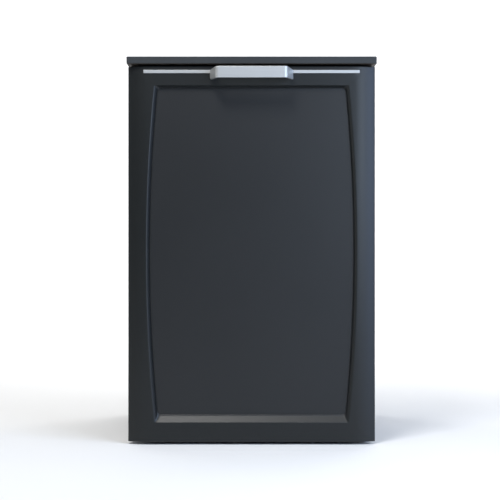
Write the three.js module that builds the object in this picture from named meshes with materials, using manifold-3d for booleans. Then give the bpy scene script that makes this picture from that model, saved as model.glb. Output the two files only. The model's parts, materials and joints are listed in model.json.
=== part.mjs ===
// A free-standing trash compactor: a steel cabinet under a worktop, a pull-out drawer that carries the waste
// bin, and a ram that two power screws drive down into the bin. Millimetres, +X right, +Y back, +Z up.
// The origin is on the floor, in the middle of the whole outline with the handle.
import * as THREE from "three";
import { mergeVertices } from "three/addons/utils/BufferGeometryUtils.js";
import Module from "manifold-3d";

const wasm = await Module();
wasm.setup();

// ---- Driving dimensions ----

const touchGap = 0.3; // between pieces that touch
const bodyDepth = 600; // drawer front's face to the worktop's rear edge
const overallHeight = 850;
const sheet = 1.5; // cabinet sheet metal

const worktop = { width: 548, thickness: 16, nose: 8, edgeRadius: 1.5, cornerRadius: 3 };

const front = {
  sideMargin: 2.6, // behind the worktop's edge
  thickness: 21.7,
  bottomZ: 6,
  topGap: 4.5, // shadow gap under the worktop
  sideCurveWidth: 45,
  sideCurveDrop: 12,
};
const recess = {
  depth: 9,
  topMargin: 41.7,
  bottomMargin: 42.2,
  endMargin: 56.7, // from the front's side edge to the ends of the bowed sides
  bow: 17.9,
  sideChamfer: 8,
  topChamfer: 5,
  bottomChamfer: 15,
};
const handle = { faceWidth: 155, baseWidth: 183, height: 25, thickness: 6, projection: 43, belowTop: 17.5 };
const trim = { width: 474, height: 7, belowTop: 11.9, proud: 1.5, groove: 1 };
const controls = {
  stripLength: 120,
  stripWidth: 13,
  stripThickness: 4.5,
  stripProud: 0.6,
  spacing: 40,
  buttonRadius: 5,
  buttonFlange: 6.2,
  buttonProud: 1.6,
  buttonTravel: 2.5,
  keyRadius: 7,
  keyGrip: 1.4,
  bore: 0.4, // clearance round a button
};

const cabinet = { sideMargin: 6, frontFlange: 25, rearFlange: 20, floorZ: 24, rearMargin: 8 };
const innerPan = { depth: 16, inset: 5.4, drawerGap: 4 };
const basePan = { thickness: 2, rim: 18 };
const foot = {
  padRadius: 20,
  padHeight: 8,
  studRadius: 5,
  studTop: 52,
  sideInset: 33,
  endInset: 24,
  clearance: 0.5,
};

const bin = {
  width: 391.4,
  depth: 379,
  height: 392,
  wall: 4,
  floor: 5,
  rim: 6,
  rimHeight: 6,
  cornerRadius: 28,
};
const carrier = { frontClear: 12, wallHeight: 62, plateHeight: 310, floorZ: 106, sideGap: 1.3, rearClear: 2 };
const slide = {
  height: 45,
  thickness: 12.7,
  metal: 1.5,
  length: 410,
  aboveFloor: 14.5,
  ballGap: 4,
  foot: 24, // width of the support's foot
};

const screw = {
  radius: 10,
  journalRadius: 8,
  topJournalRadius: 7,
  fromSide: 34, // inside face of the side panel to the screw's axis
  footZ: 30,
  threadStart: 60,
  fit: 0.3,
};
const ram = {
  plateThickness: 10,
  plateSideGap: 14,
  plateEndGap: 23,
  aboveRim: 10,
  columnSize: 60,
  columnWall: 4,
  columnSpacing: 200,
  beamWidth: 70,
  beamMetal: 3,
  wingDepth: 20,
  middleDepth: 61,
  middleHalf: 150,
  taper: 25,
  belowFrame: 6,
  wingReach: 24, // beyond the screw's axis
};
const nut = { bodyRadius: 15, flangeRadius: 22, flangeHeight: 4, below: 22 };
const topFrame = { height: 20, width: 81, metal: 3 };
const bearing = { flangeRadius: 30, flangeHeight: 5, hubRadius: 20, hubTop: 41.7, upperRadius: 18 };

const chain = {
  pitch: 9.525,
  roller: 6.35,
  screwTeeth: 16,
  driveTeeth: 10,
  wheelZ: 45,
  wheelHeight: 5.3,
  bandHeight: 8.4,
  bandThickness: 4,
  clear: 0.5, // between the teeth and the band
  pass: 10, // between the band and what it runs past
};
const drive = { jackX: 45, rearClear: 80, jackTop: 80 };
const belt = {
  bigRadius: 62,
  smallRadius: 18,
  rimDepth: 14,
  hubRadius: 15,
  web: 4,
  grooveDepth: 7.5,
  z: 58,
  height: 14,
  bandHeight: 6,
  bandThickness: 4.5,
};
const motor = {
  radius: 62,
  height: 126,
  shaftRadius: 7,
  margin: 3, // bracket beyond the casing
  fromSupport: 2.8, // between the bracket and the left slide support
  bracketZ: 76,
  bracketMetal: 3,
  bracketFoot: 14,
  legDepth: 137,
};

const backPanel = { thickness: 1.2, windowHalf: 185, windowLow: 46, windowHigh: 240, slotLength: 120 };
const serviceCover = { half: 200, low: 34, high: 252, depth: 4 };

// ---- Places worked out from them ----

const rearY = (bodyDepth + handle.projection) / 2;
const faceY = rearY - bodyDepth;
const worktopZ = overallHeight - worktop.thickness;
const frontHalf = worktop.width / 2 - front.sideMargin;
const frontTopZ = worktopZ - front.topGap;
const frontBackY = faceY + front.thickness;
const panFrontY = frontBackY + touchGap;
const panBackY = panFrontY + innerPan.depth;
const cabinetFrontY = panBackY + innerPan.drawerGap;
const cabinetRearY = rearY - cabinet.rearMargin - touchGap - backPanel.thickness;
const cabinetTopZ = worktopZ - touchGap;
const sideOuter = worktop.width / 2 - cabinet.sideMargin;
const sideInner = sideOuter - sheet;
const panTopZ = cabinet.floorZ + basePan.thickness;
const onPanZ = panTopZ + touchGap;

const carrierFrontY = panBackY + touchGap;
const binFrontY = carrierFrontY + carrier.frontClear;
const binRearY = binFrontY + bin.depth;
const binFloorZ = carrier.floorZ + sheet + touchGap;
const binRimZ = binFloorZ + bin.height;
const binHalf = bin.width / 2;
const carrierInner = binHalf + carrier.sideGap;
const carrierOuter = carrierInner + sheet;
const slideInnerX = carrierOuter + touchGap;
const slideOuterX = slideInnerX + slide.thickness;
const slideZ = carrier.floorZ + slide.aboveFloor + slide.height / 2;
const slideFrontY = carrierFrontY + sheet + 6;
const supportX = slideOuterX + touchGap;

const screwX = sideInner - screw.fromSide;
const screwY = (binFrontY + binRearY) / 2;
const frameTopZ = cabinetTopZ - sheet - touchGap;
const frameLowZ = frameTopZ - topFrame.height;
const beamTopZ = frameLowZ - ram.belowFrame;
const plateZ = binRimZ + ram.aboveRim;

const jackY = cabinetRearY - drive.rearClear;
const motorX = motor.radius + motor.margin + motor.fromSupport - (supportX - slide.foot);

const sides = [["left", -1], ["right", 1]];

// ---- Geometry helpers ----

function toSolid(geometry) {
  const bare = geometry.index ? geometry.toNonIndexed() : geometry.clone();
  bare.deleteAttribute("normal");
  bare.deleteAttribute("uv");
  const merged = mergeVertices(bare, 1e-4);
  const vertProperties = merged.attributes.position.array;
  const triVerts = new Uint32Array(merged.index.array);
  return new wasm.Manifold(new wasm.Mesh({ numProp: 3, vertProperties, triVerts }));
}

function toGeometry(solid) {
  const mesh = solid.getMesh();
  const geometry = new THREE.BufferGeometry();
  geometry.setAttribute("position", new THREE.BufferAttribute(mesh.vertProperties, 3));
  geometry.setIndex(new THREE.BufferAttribute(mesh.triVerts, 1));
  geometry.computeVertexNormals();
  return geometry;
}

function joined(...pieces) {
  return toGeometry(pieces.map(toSolid).reduce((whole, piece) => whole.add(piece)));
}

function cutFrom(body, ...tools) {
  return toGeometry(tools.map(toSolid).reduce((whole, tool) => whole.subtract(tool), toSolid(body)));
}

// A box between two corners, given in either order along each axis.
function block(xs, ys, zs) {
  const [width, depth, height] = [xs, ys, zs].map(([a, b]) => Math.abs(b - a));
  const [x, y, z] = [xs, ys, zs].map(([a, b]) => (a + b) / 2);
  return new THREE.BoxGeometry(width, depth, height).translate(x, y, z);
}

function mirroredBlock(sign, xs, ys, zs) {
  return block(xs.map((x) => x * sign), ys, zs);
}

function shapeOf(points) {
  return new THREE.Shape(points.map(([x, y]) => new THREE.Vector2(x, y)));
}

function upright(shape, lowZ, highZ) {
  const options = { depth: highZ - lowZ, bevelEnabled: false, curveSegments: 6 };
  return new THREE.ExtrudeGeometry(shape, options).translate(0, 0, lowZ);
}

// A section drawn in X and Z, run from front to back.
function alongY(points, frontY, backY) {
  const options = { depth: backY - frontY, bevelEnabled: false };
  return new THREE.ExtrudeGeometry(shapeOf(points), options).rotateX(Math.PI / 2).translate(0, backY, 0);
}

function roundedRectangle(halfX, lowY, highY, radius) {
  const shape = new THREE.Shape();
  shape.moveTo(radius - halfX, lowY);
  shape.lineTo(halfX - radius, lowY);
  shape.absarc(halfX - radius, lowY + radius, radius, -Math.PI / 2, 0, false);
  shape.lineTo(halfX, highY - radius);
  shape.absarc(halfX - radius, highY - radius, radius, 0, Math.PI / 2, false);
  shape.lineTo(radius - halfX, highY);
  shape.absarc(radius - halfX, highY - radius, radius, Math.PI / 2, Math.PI, false);
  shape.lineTo(-halfX, lowY + radius);
  shape.absarc(radius - halfX, lowY + radius, radius, Math.PI, 1.5 * Math.PI, false);
  return shape;
}

// A profile of radius and height, turned about a vertical axis.
function turned(profile, x, y, segments = 24) {
  const points = profile.map(([radius, height]) => new THREE.Vector2(radius, height));
  return new THREE.LatheGeometry(points, segments).rotateX(Math.PI / 2).translate(x, y, 0);
}

function post(x, y, radius, lowZ, highZ, segments = 24) {
  return turned([[0, lowZ], [radius, lowZ], [radius, highZ], [0, highZ]], x, y, segments);
}

// A closed solid between two rings of the same number of points, both anticlockwise seen from the first.
function lofted(first, second) {
  const count = first.length;
  const positions = new Float32Array([...first, ...second].flat());
  const outline = first.map(([x, , z]) => new THREE.Vector2(x, z));
  const triangles = [];
  for (const [a, b, c] of THREE.ShapeUtils.triangulateShape(outline, [])) {
    triangles.push(a, b, c, a + count, c + count, b + count);
  }
  for (let i = 0; i < count; i++) {
    const next = (i + 1) % count;
    triangles.push(i, i + count, next, next, i + count, next + count);
  }
  const geometry = new THREE.BufferGeometry();
  geometry.setAttribute("position", new THREE.BufferAttribute(positions, 3));
  geometry.setIndex(triangles);
  return geometry;
}

// The taut loop round wheels listed anticlockwise, each [x, y, radius], standing clear of every wheel.
function loopPoints(wheels, clear) {
  const towards = wheels.map(([x, y, r], i) => {
    const [nextX, nextY, nextR] = wheels[(i + 1) % wheels.length];
    const heading = Math.atan2(nextY - y, nextX - x);
    return heading - Math.acos((r - nextR) / Math.hypot(nextX - x, nextY - y));
  });
  return wheels.flatMap(([x, y, r], i) => {
    const start = towards[(i + wheels.length - 1) % wheels.length];
    const turn = (towards[i] - start + 4 * Math.PI) % (2 * Math.PI);
    const steps = Math.ceil(turn / 0.3);
    return Array.from({ length: steps + 1 }, (_, k) => {
      const angle = start + (turn * k) / steps;
      return [x + (r + clear) * Math.cos(angle), y + (r + clear) * Math.sin(angle)];
    });
  });
}

function loopBand(wheels, clear, thickness, lowZ, highZ) {
  const shape = shapeOf(loopPoints(wheels, clear + thickness));
  shape.holes.push(new THREE.Path(loopPoints(wheels, clear).map(([x, y]) => new THREE.Vector2(x, y))));
  return upright(shape, lowZ, highZ);
}

// ---- The model ----

const compactor = new THREE.Group();

const finishes = {
  blackFront: { color: 0x2b3035, roughness: 0.42, metalness: 0.1 },
  laminate: { color: 0x4d5357, roughness: 0.5, metalness: 0 },
  aluminium: { color: 0xc6ccd2, roughness: 0.35, metalness: 0.9 },
  blackSteel: { color: 0x1d2023, roughness: 0.55, metalness: 0.3 },
  zinc: { color: 0xa9adb0, roughness: 0.4, metalness: 0.9 },
  machined: { color: 0x8f9498, roughness: 0.3, metalness: 1 },
  castIron: { color: 0x45494c, roughness: 0.7, metalness: 0.6 },
  castAluminium: { color: 0x9a9ea2, roughness: 0.5, metalness: 0.9 },
  bronze: { color: 0xa5793c, roughness: 0.4, metalness: 0.9 },
  binPlastic: { color: 0x3c4043, roughness: 0.6, metalness: 0 },
  blackPlastic: { color: 0x18191b, roughness: 0.5, metalness: 0 },
  greyPlastic: { color: 0x6d7276, roughness: 0.5, metalness: 0 },
  rubber: { color: 0x141414, roughness: 0.9, metalness: 0 },
};

function add(name, finish, geometry) {
  const mesh = new THREE.Mesh(geometry, new THREE.MeshStandardMaterial(finishes[finish]));
  mesh.name = name;
  compactor.add(mesh);
}

// ---- Cabinet ----

function worktopBoard() {
  const { edgeRadius, cornerRadius } = worktop;
  const outline = roundedRectangle(
    worktop.width / 2 - edgeRadius,
    faceY - worktop.nose + edgeRadius,
    rearY - edgeRadius,
    cornerRadius,
  );
  const options = {
    depth: worktop.thickness - 2 * edgeRadius,
    bevelSize: edgeRadius,
    bevelThickness: edgeRadius,
    bevelSegments: 2,
    curveSegments: 4,
  };
  return new THREE.ExtrudeGeometry(outline, options).translate(0, 0, worktopZ + edgeRadius);
}

// One folded sheet: the side itself with a flange turned in at the front and at the rear.
function sidePanel(sign) {
  const frontLip = sideOuter - cabinet.frontFlange;
  const rearLip = sideOuter - cabinet.rearFlange;
  const section = [
    [sideOuter, cabinetFrontY], [sideOuter, cabinetRearY], [rearLip, cabinetRearY],
    [rearLip, cabinetRearY - sheet], [sideInner, cabinetRearY - sheet], [sideInner, cabinetFrontY + sheet],
    [frontLip, cabinetFrontY + sheet], [frontLip, cabinetFrontY],
  ].map(([x, y]) => [sign * x, y]);
  return upright(shapeOf(section), cabinet.floorZ, cabinetTopZ);
}

const gland = { x: 222, z: 64, radius: 11, flangeRadius: 15, bore: 4.5, reach: 7 };
const backPanelY = cabinetRearY + touchGap;
const coverY = backPanelY + backPanel.thickness + touchGap;

function backSheet() {
  const ys = [backPanelY, backPanelY + backPanel.thickness];
  const past = [backPanelY - 5, backPanelY + 5];
  const { windowHalf, windowLow, windowHigh, slotLength } = backPanel;
  const slots = [-1.5, -0.5, 0.5, 1.5].flatMap((column) =>
    [0, 1, 2].map((row) => {
      const x = column * slotLength;
      const z = cabinetTopZ - 70 - row * 18;
      return block([x - slotLength / 2 + 12, x + slotLength / 2 - 12], past, [z, z + 6]);
    }),
  );
  const glandHole = post(0, 0, gland.radius + touchGap, -10, 10);
  glandHole.rotateX(-Math.PI / 2).translate(gland.x, backPanelY, gland.z);
  return cutFrom(
    block([-sideOuter, sideOuter], ys, [cabinet.floorZ, cabinetTopZ]),
    block([-windowHalf, windowHalf], past, [windowLow, windowHigh]),
    glandHole,
    ...slots,
  );
}

// A shallow dished cover with two rows of louvre slots, screwed over the service window.
function rearServiceCover() {
  const { half, low, high, depth } = serviceCover;
  const slots = [-1, 1].flatMap((side) =>
    [0, 1, 2, 3, 4].map((row) => {
      const z = low + 50 + row * 24;
      return block([side * 40, side * 160], [coverY - 5, coverY + depth + 5], [z, z + 7]);
    }),
  );
  return cutFrom(
    block([-half, half], [coverY, coverY + depth], [low, high]),
    block([-half + 14, half - 14], [coverY - 5, coverY + depth - sheet], [low + 14, high - 14]),
    ...slots,
  );
}

function cordGland() {
  const { radius, flangeRadius, bore, reach } = gland;
  const outside = coverY - backPanelY + 3.5;
  const profile = [
    [bore, -12], [radius, -12], [radius, coverY - backPanelY], [flangeRadius, coverY - backPanelY],
    [flangeRadius, outside], [radius - 1, outside + 1], [bore + 2, reach], [bore, reach], [bore, -12],
  ];
  return turned(profile, 0, 0, 20).rotateX(-Math.PI / 2).translate(gland.x, backPanelY, gland.z);
}

const footPlaces = [
  ["front_left", -1, cabinetFrontY + foot.endInset],
  ["front_right", 1, cabinetFrontY + foot.endInset],
  ["rear_left", -1, cabinetRearY - foot.endInset],
  ["rear_right", 1, cabinetRearY - foot.endInset],
].map(([place, sign, y]) => ({ place, x: sign * (sideOuter - foot.sideInset), y }));

function basePanTray() {
  const half = sideInner - touchGap;
  const ys = [cabinetFrontY + sheet + touchGap, cabinetRearY - sheet - touchGap];
  const { thickness, rim } = basePan;
  const holes = footPlaces.map(({ x, y }) =>
    post(x, y, foot.studRadius + foot.clearance, cabinet.floorZ - 5, panTopZ + 5, 16),
  );
  return cutFrom(
    block([-half, half], ys, [cabinet.floorZ, panTopZ + rim]),
    block(
      [-half + thickness, half - thickness],
      [ys[0] + thickness, ys[1] - thickness],
      [panTopZ, panTopZ + rim + 5],
    ),
    ...holes,
  );
}

function frontRail() {
  const half = sideOuter - cabinet.frontFlange - touchGap;
  return joined(
    block([-half, half], [cabinetFrontY, cabinetFrontY + sheet], [cabinetTopZ - 34, cabinetTopZ]),
    block([-half, half], [cabinetFrontY, cabinetFrontY + 32], [cabinetTopZ - sheet, cabinetTopZ]),
  );
}

// The channel across the cabinet's top that the screws' upper bearings hang in.
function ramFrame() {
  const half = sideInner - touchGap;
  const { width, metal } = topFrame;
  const ys = [screwY - width / 2, screwY + width / 2];
  return cutFrom(
    block([-half, half], ys, [frameLowZ, frameTopZ]),
    block([-half - 5, half + 5], [ys[0] + metal, ys[1] - metal], [frameLowZ - 5, frameTopZ - metal]),
  );
}

const upperBearingLowZ = frameLowZ + 0.5;
const upperBearingHighZ = frameTopZ - topFrame.metal - touchGap;

function upperBearing(x) {
  const bore = screw.topJournalRadius + screw.fit;
  const capZ = upperBearingHighZ - 2.5;
  const profile = [
    [bore, upperBearingLowZ], [bearing.upperRadius, upperBearingLowZ],
    [bearing.upperRadius, upperBearingHighZ], [0, upperBearingHighZ], [0, capZ], [bore, capZ],
    [bore, upperBearingLowZ],
  ];
  return turned(profile, x, screwY);
}

// A flanged cup that carries a shaft's foot and its thrust.
function lowerBearing(x, y) {
  const bore = screw.journalRadius + screw.fit;
  const { flangeRadius, flangeHeight, hubRadius, hubTop } = bearing;
  const cupZ = screw.footZ - touchGap;
  const flangeZ = onPanZ + flangeHeight;
  const profile = [
    [0, onPanZ], [flangeRadius, onPanZ], [flangeRadius, flangeZ], [hubRadius, flangeZ],
    [hubRadius, hubTop], [bore, hubTop], [bore, cupZ], [0, cupZ],
  ];
  return turned(profile, x, y);
}

const chainOuter = tipRadius(chain.screwTeeth) + chain.clear + chain.bandThickness;

// How steeply the chain runs back from a screw to the jackshaft.
function chainSlope(sign) {
  return (jackY - screwY) / (drive.jackX - sign * screwX);
}

// How far back the chain's outer face is where it passes a slide support.
function chainBackY(sign) {
  const slope = chainSlope(sign);
  return screwY + sign * (supportX - screwX) * slope + chainOuter * Math.hypot(1, slope);
}

const chainNotch = [
  screwY - chainOuter - chain.pass,
  Math.max(chainBackY(-1), chainBackY(1)) + chain.pass,
];

// An angle that holds one slide rail. It stands on the base pan, notched for the screw's foot and the chain.
function slideSupport(sign) {
  const ys = [slideFrontY, slideFrontY + slide.length];
  const topZ = slideZ + slide.height / 2;
  return cutFrom(
    joined(
      mirroredBlock(sign, [supportX, supportX + 2], ys, [onPanZ, topZ]),
      mirroredBlock(sign, [supportX - slide.foot, supportX + 2], ys, [onPanZ, onPanZ + 2]),
    ),
    mirroredBlock(
      sign,
      [supportX - slide.foot - 5, supportX + 10],
      chainNotch,
      [onPanZ - 5, screw.threadStart + 4],
    ),
  );
}

// One member of a telescopic slide: a channel whose lips point along lipTo.
function slideMember(sign, webX, lipTo, halfHeight) {
  const m = slide.metal;
  const inward = Math.sign(lipTo - webX);
  const x1 = webX + inward * m;
  const section = [
    [webX, -halfHeight], [lipTo, -halfHeight], [lipTo, m - halfHeight], [x1, m - halfHeight],
    [x1, halfHeight - m], [lipTo, halfHeight - m], [lipTo, halfHeight], [webX, halfHeight],
  ].map(([x, z]) => [sign * x, slideZ + z]);
  return alongY(section, slideFrontY, slideFrontY + slide.length);
}

add("worktop", "laminate", worktopBoard());
add("back_panel", "blackSteel", backSheet());
add("rear_service_cover", "zinc", rearServiceCover());
add("cord_gland", "blackPlastic", cordGland());
add("base_pan", "zinc", basePanTray());
add("front_rail", "blackSteel", frontRail());
add("ram_frame", "zinc", ramFrame());

const outerHalf = slide.height / 2;
const middleHalf = outerHalf - slide.metal - slide.ballGap;
const innerHalf = middleHalf - slide.metal - slide.ballGap;

for (const [side, sign] of sides) {
  add(`side_panel_${side}`, "blackSteel", sidePanel(sign));
  add(`upper_bearing_${side}`, "castIron", upperBearing(sign * screwX));
  add(`lower_bearing_${side}`, "castIron", lowerBearing(sign * screwX, screwY));
  add(`slide_support_${side}`, "zinc", slideSupport(sign));
  add(`slide_rail_${side}`, "zinc", slideMember(sign, slideOuterX, slideInnerX + 3.7, outerHalf));
  add(`slide_middle_${side}`, "zinc", slideMember(sign, slideOuterX - 2.5, slideInnerX + 1.8, middleHalf));
  add(`slide_inner_${side}`, "zinc", slideMember(sign, slideInnerX, slideOuterX - 5, innerHalf));
}

for (const { place, x, y } of footPlaces) {
  const { padRadius, padHeight, studRadius, studTop } = foot;
  const profile = [
    [0, 0], [padRadius - 1.5, 0], [padRadius, 1.5], [padRadius, padHeight - 3], [studRadius + 5, padHeight],
    [studRadius + 5, padHeight + 6], [studRadius, padHeight + 6], [studRadius, studTop], [0, studTop],
  ];
  add(`levelling_foot_${place}`, "rubber", turned(profile, x, y, 20));
}

// ---- Drawer ----

function frontOutline() {
  const { sideCurveWidth, sideCurveDrop } = front;
  const radius = (sideCurveWidth ** 2 + sideCurveDrop ** 2) / (2 * sideCurveDrop);
  const steps = 8;
  const rightCurve = Array.from({ length: steps + 1 }, (_, i) => {
    const reach = (sideCurveWidth * i) / steps;
    return [frontHalf - sideCurveWidth + reach, faceY + radius - Math.sqrt(radius ** 2 - reach ** 2)];
  });
  const leftCurve = rightCurve.map(([x, y]) => [-x, y]).reverse();
  return shapeOf([...leftCurve, ...rightCurve, [frontHalf, frontBackY], [-frontHalf, frontBackY]]);
}

// One ring of the recess: level at the top and bottom, bowed outwards at the sides. inset 0 is its mouth.
function recessRing(inset, y) {
  const lowZ = front.bottomZ + recess.bottomMargin + inset * recess.bottomChamfer;
  const highZ = frontTopZ - recess.topMargin - inset * recess.topChamfer;
  const halfEnd = frontHalf - recess.endMargin - inset * recess.sideChamfer;
  const halfHeight = (highZ - lowZ) / 2;
  const radius = (halfHeight ** 2 + recess.bow ** 2) / (2 * recess.bow);
  const steps = 14;
  const right = Array.from({ length: steps + 1 }, (_, i) => {
    const z = -halfHeight + (2 * halfHeight * i) / steps;
    const x = halfEnd + recess.bow - radius + Math.sqrt(radius ** 2 - z ** 2);
    return [x, y, lowZ + halfHeight + z];
  });
  const left = right.map(([x, , z]) => [-x, y, z]).reverse();
  return [...right, ...left];
}

const trimZ = frontTopZ - trim.belowTop;
const stripY = faceY + front.thickness / 2;
const stripTopZ = frontTopZ + controls.stripProud;
const stripLowZ = stripTopZ - controls.stripThickness;
const buttonPlaces = [["start_button", -controls.spacing], ["stop_button", 0]];

function drawerFront() {
  const proud = 1;
  const pockets = [-1, 0, 1].map((i) =>
    post(i * controls.spacing, stripY, controls.keyRadius + 1.5, stripLowZ - 14, stripLowZ + 5, 20),
  );
  const { stripLength, stripWidth } = controls;
  return cutFrom(
    upright(frontOutline(), front.bottomZ, frontTopZ),
    lofted(recessRing(-proud, faceY - proud * recess.depth), recessRing(1, faceY + recess.depth)),
    block(
      [-trim.width / 2 - touchGap, trim.width / 2 + touchGap],
      [faceY - 5, faceY + trim.groove],
      [trimZ - trim.height / 2 - touchGap, trimZ + trim.height / 2 + touchGap],
    ),
    block(
      [-stripLength / 2 - touchGap, stripLength / 2 + touchGap],
      [stripY - stripWidth / 2 - touchGap, stripY + stripWidth / 2 + touchGap],
      [stripLowZ - touchGap, frontTopZ + 5],
    ),
    ...pockets,
  );
}

// The drawer front's steel inner pan, open towards the moulded front.
function frontInnerPan() {
  const half = frontHalf - innerPan.inset;
  const zs = [front.bottomZ + innerPan.inset, frontTopZ - innerPan.inset];
  return cutFrom(
    block([-half, half], [panFrontY, panBackY], zs),
    block([-half + sheet, half - sheet], [panFrontY - 5, panBackY - sheet], [zs[0] + sheet, zs[1] - sheet]),
  );
}

// A bar on two slanted legs, seen from above as a trapezium, notched where it crosses the trim.
function drawerHandle() {
  const { faceWidth, baseWidth, thickness, projection, height, belowTop } = handle;
  const slope = (baseWidth - faceWidth) / 2 / projection;
  const inset = thickness * (Math.hypot(1, slope) - slope);
  const footY = faceY - touchGap;
  const barY = faceY - projection;
  const outline = shapeOf([
    [-baseWidth / 2, footY],
    [-faceWidth / 2, barY],
    [faceWidth / 2, barY],
    [baseWidth / 2, footY],
    [baseWidth / 2 - thickness * Math.hypot(1, slope), footY],
    [faceWidth / 2 - inset, barY + thickness],
    [inset - faceWidth / 2, barY + thickness],
    [thickness * Math.hypot(1, slope) - baseWidth / 2, footY],
  ]);
  const z = frontTopZ - belowTop;
  const trimHalf = trim.height / 2 + touchGap;
  return cutFrom(
    upright(outline, z - height / 2, z + height / 2),
    block(
      [-baseWidth, baseWidth],
      [faceY - trim.proud - touchGap, faceY + 5],
      [trimZ - trimHalf, trimZ + trimHalf],
    ),
  );
}

function controlStrip() {
  const { stripLength, stripWidth, spacing, buttonRadius, keyRadius, bore } = controls;
  const holes = buttonPlaces.map(([, x]) =>
    post(x, stripY, buttonRadius + bore, stripLowZ - 5, stripTopZ + 5, 20),
  );
  return cutFrom(
    block(
      [-stripLength / 2, stripLength / 2],
      [stripY - stripWidth / 2, stripY + stripWidth / 2],
      [stripLowZ, stripTopZ],
    ),
    post(spacing, stripY, keyRadius - 1 + bore, stripLowZ - 5, stripTopZ + 5, 20),
    ...holes,
  );
}

function pushButton(x) {
  const { buttonRadius, buttonFlange, buttonProud } = controls;
  const flangeTop = stripLowZ - touchGap;
  const topZ = stripTopZ + buttonProud;
  const profile = [
    [0, flangeTop - 4], [buttonFlange, flangeTop - 4], [buttonFlange, flangeTop], [buttonRadius, flangeTop],
    [buttonRadius, topZ - 0.6], [buttonRadius - 0.6, topZ], [0, topZ],
  ];
  return turned(profile, x, stripY, 20);
}

function keyKnob() {
  const { spacing, keyRadius, keyGrip } = controls;
  const flangeTop = stripLowZ - touchGap;
  const stem = turned(
    [
      [0, flangeTop - 5], [keyRadius, flangeTop - 5], [keyRadius, flangeTop], [keyRadius - 1, flangeTop],
      [keyRadius - 1, stripTopZ + 0.8], [0, stripTopZ + 0.8],
    ],
    spacing,
    stripY,
    20,
  );
  const grip = block(
    [spacing - 1.5, spacing + 1.5],
    [stripY - keyRadius + 2, stripY + keyRadius - 2],
    [stripTopZ - 1, stripTopZ + 0.8 + keyGrip],
  );
  return joined(stem, grip);
}

// The steel tray under the bin: floor, two side walls for the slides, and a plate bolted to the front.
function drawerCarrier() {
  const { floorZ, wallHeight, plateHeight, rearClear } = carrier;
  const xs = [-carrierOuter, carrierOuter];
  const backY = binRearY + rearClear;
  return joined(
    block(xs, [carrierFrontY, backY], [floorZ, floorZ + sheet]),
    block(xs, [carrierFrontY, carrierFrontY + sheet], [floorZ, floorZ + plateHeight]),
    mirroredBlock(-1, [carrierInner, carrierOuter], [carrierFrontY, backY], [floorZ, floorZ + wallHeight]),
    mirroredBlock(1, [carrierInner, carrierOuter], [carrierFrontY, backY], [floorZ, floorZ + wallHeight]),
  );
}

function wasteBin() {
  const { wall, floor, rim, rimHeight, cornerRadius } = bin;
  const outer = roundedRectangle(binHalf, binFrontY, binRearY, cornerRadius);
  const lip = roundedRectangle(binHalf + rim, binFrontY - rim, binRearY + rim, cornerRadius + rim);
  const inner = roundedRectangle(binHalf - wall, binFrontY + wall, binRearY - wall, cornerRadius - wall);
  return cutFrom(
    joined(upright(outer, binFloorZ, binRimZ), upright(lip, binRimZ - rimHeight, binRimZ)),
    upright(inner, binFloorZ + floor, binRimZ + 5),
  );
}

add("drawer_front", "blackFront", drawerFront());
add("front_inner_pan", "blackSteel", frontInnerPan());
add("handle", "aluminium", drawerHandle());
add(
  "trim_strip",
  "aluminium",
  block(
    [-trim.width / 2, trim.width / 2],
    [faceY - trim.proud, faceY + trim.groove - touchGap],
    [trimZ - trim.height / 2, trimZ + trim.height / 2],
  ),
);
add("control_strip", "blackPlastic", controlStrip());
for (const [name, x] of buttonPlaces) {
  add(name, "greyPlastic", pushButton(x));
}
add("key_knob", "greyPlastic", keyKnob());
add("drawer_carrier", "zinc", drawerCarrier());
add("waste_bin", "binPlastic", wasteBin());

// ---- Ram ----

function ramPlate() {
  const half = binHalf - bin.wall - ram.plateSideGap;
  const ys = [binFrontY + bin.wall + ram.plateEndGap, binRearY - bin.wall - ram.plateEndGap];
  return upright(roundedRectangle(half, ys[0], ys[1], 18), plateZ, plateZ + ram.plateThickness);
}

function ramColumn(sign) {
  const half = ram.columnSize / 2;
  const x = (sign * ram.columnSpacing) / 2;
  const zs = [plateZ + ram.plateThickness + touchGap, beamTopZ - ram.beamMetal - touchGap];
  const hollow = half - ram.columnWall;
  return cutFrom(
    block([x - half, x + half], [screwY - half, screwY + half], zs),
    block([x - hollow, x + hollow], [screwY - hollow, screwY + hollow], [zs[0] - 5, zs[1] + 5]),
  );
}

// An inverted channel, deep between the columns and shallow at the wings that sit on the nuts.
function ramCrossbeam() {
  const { beamWidth, beamMetal, wingDepth, middleDepth, middleHalf: half, taper, wingReach } = ram;
  const tip = screwX + wingReach;
  const wingZ = beamTopZ - wingDepth;
  const lowZ = beamTopZ - middleDepth;
  const profile = [
    [-tip, beamTopZ], [-tip, wingZ], [-half - taper, wingZ], [-half, lowZ],
    [half, lowZ], [half + taper, wingZ], [tip, wingZ], [tip, beamTopZ],
  ];
  const ys = [screwY - beamWidth / 2, screwY + beamWidth / 2];
  return cutFrom(
    alongY(profile, ys[0], ys[1]),
    block([-tip - 5, tip + 5], [ys[0] + beamMetal, ys[1] - beamMetal], [lowZ - 5, beamTopZ - beamMetal]),
    ...sides.map(([, sign]) => post(sign * screwX, screwY, nut.bodyRadius + touchGap, wingZ, beamTopZ + 5)),
  );
}

function ramNut(x) {
  const bore = screw.radius + screw.fit;
  const { bodyRadius, flangeRadius, flangeHeight, below } = nut;
  const seatZ = beamTopZ + touchGap;
  const profile = [
    [bore, beamTopZ - below], [bodyRadius, beamTopZ - below], [bodyRadius, seatZ], [flangeRadius, seatZ],
    [flangeRadius, seatZ + flangeHeight], [bore, seatZ + flangeHeight], [bore, beamTopZ - below],
  ];
  return turned(profile, x, screwY);
}

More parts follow.
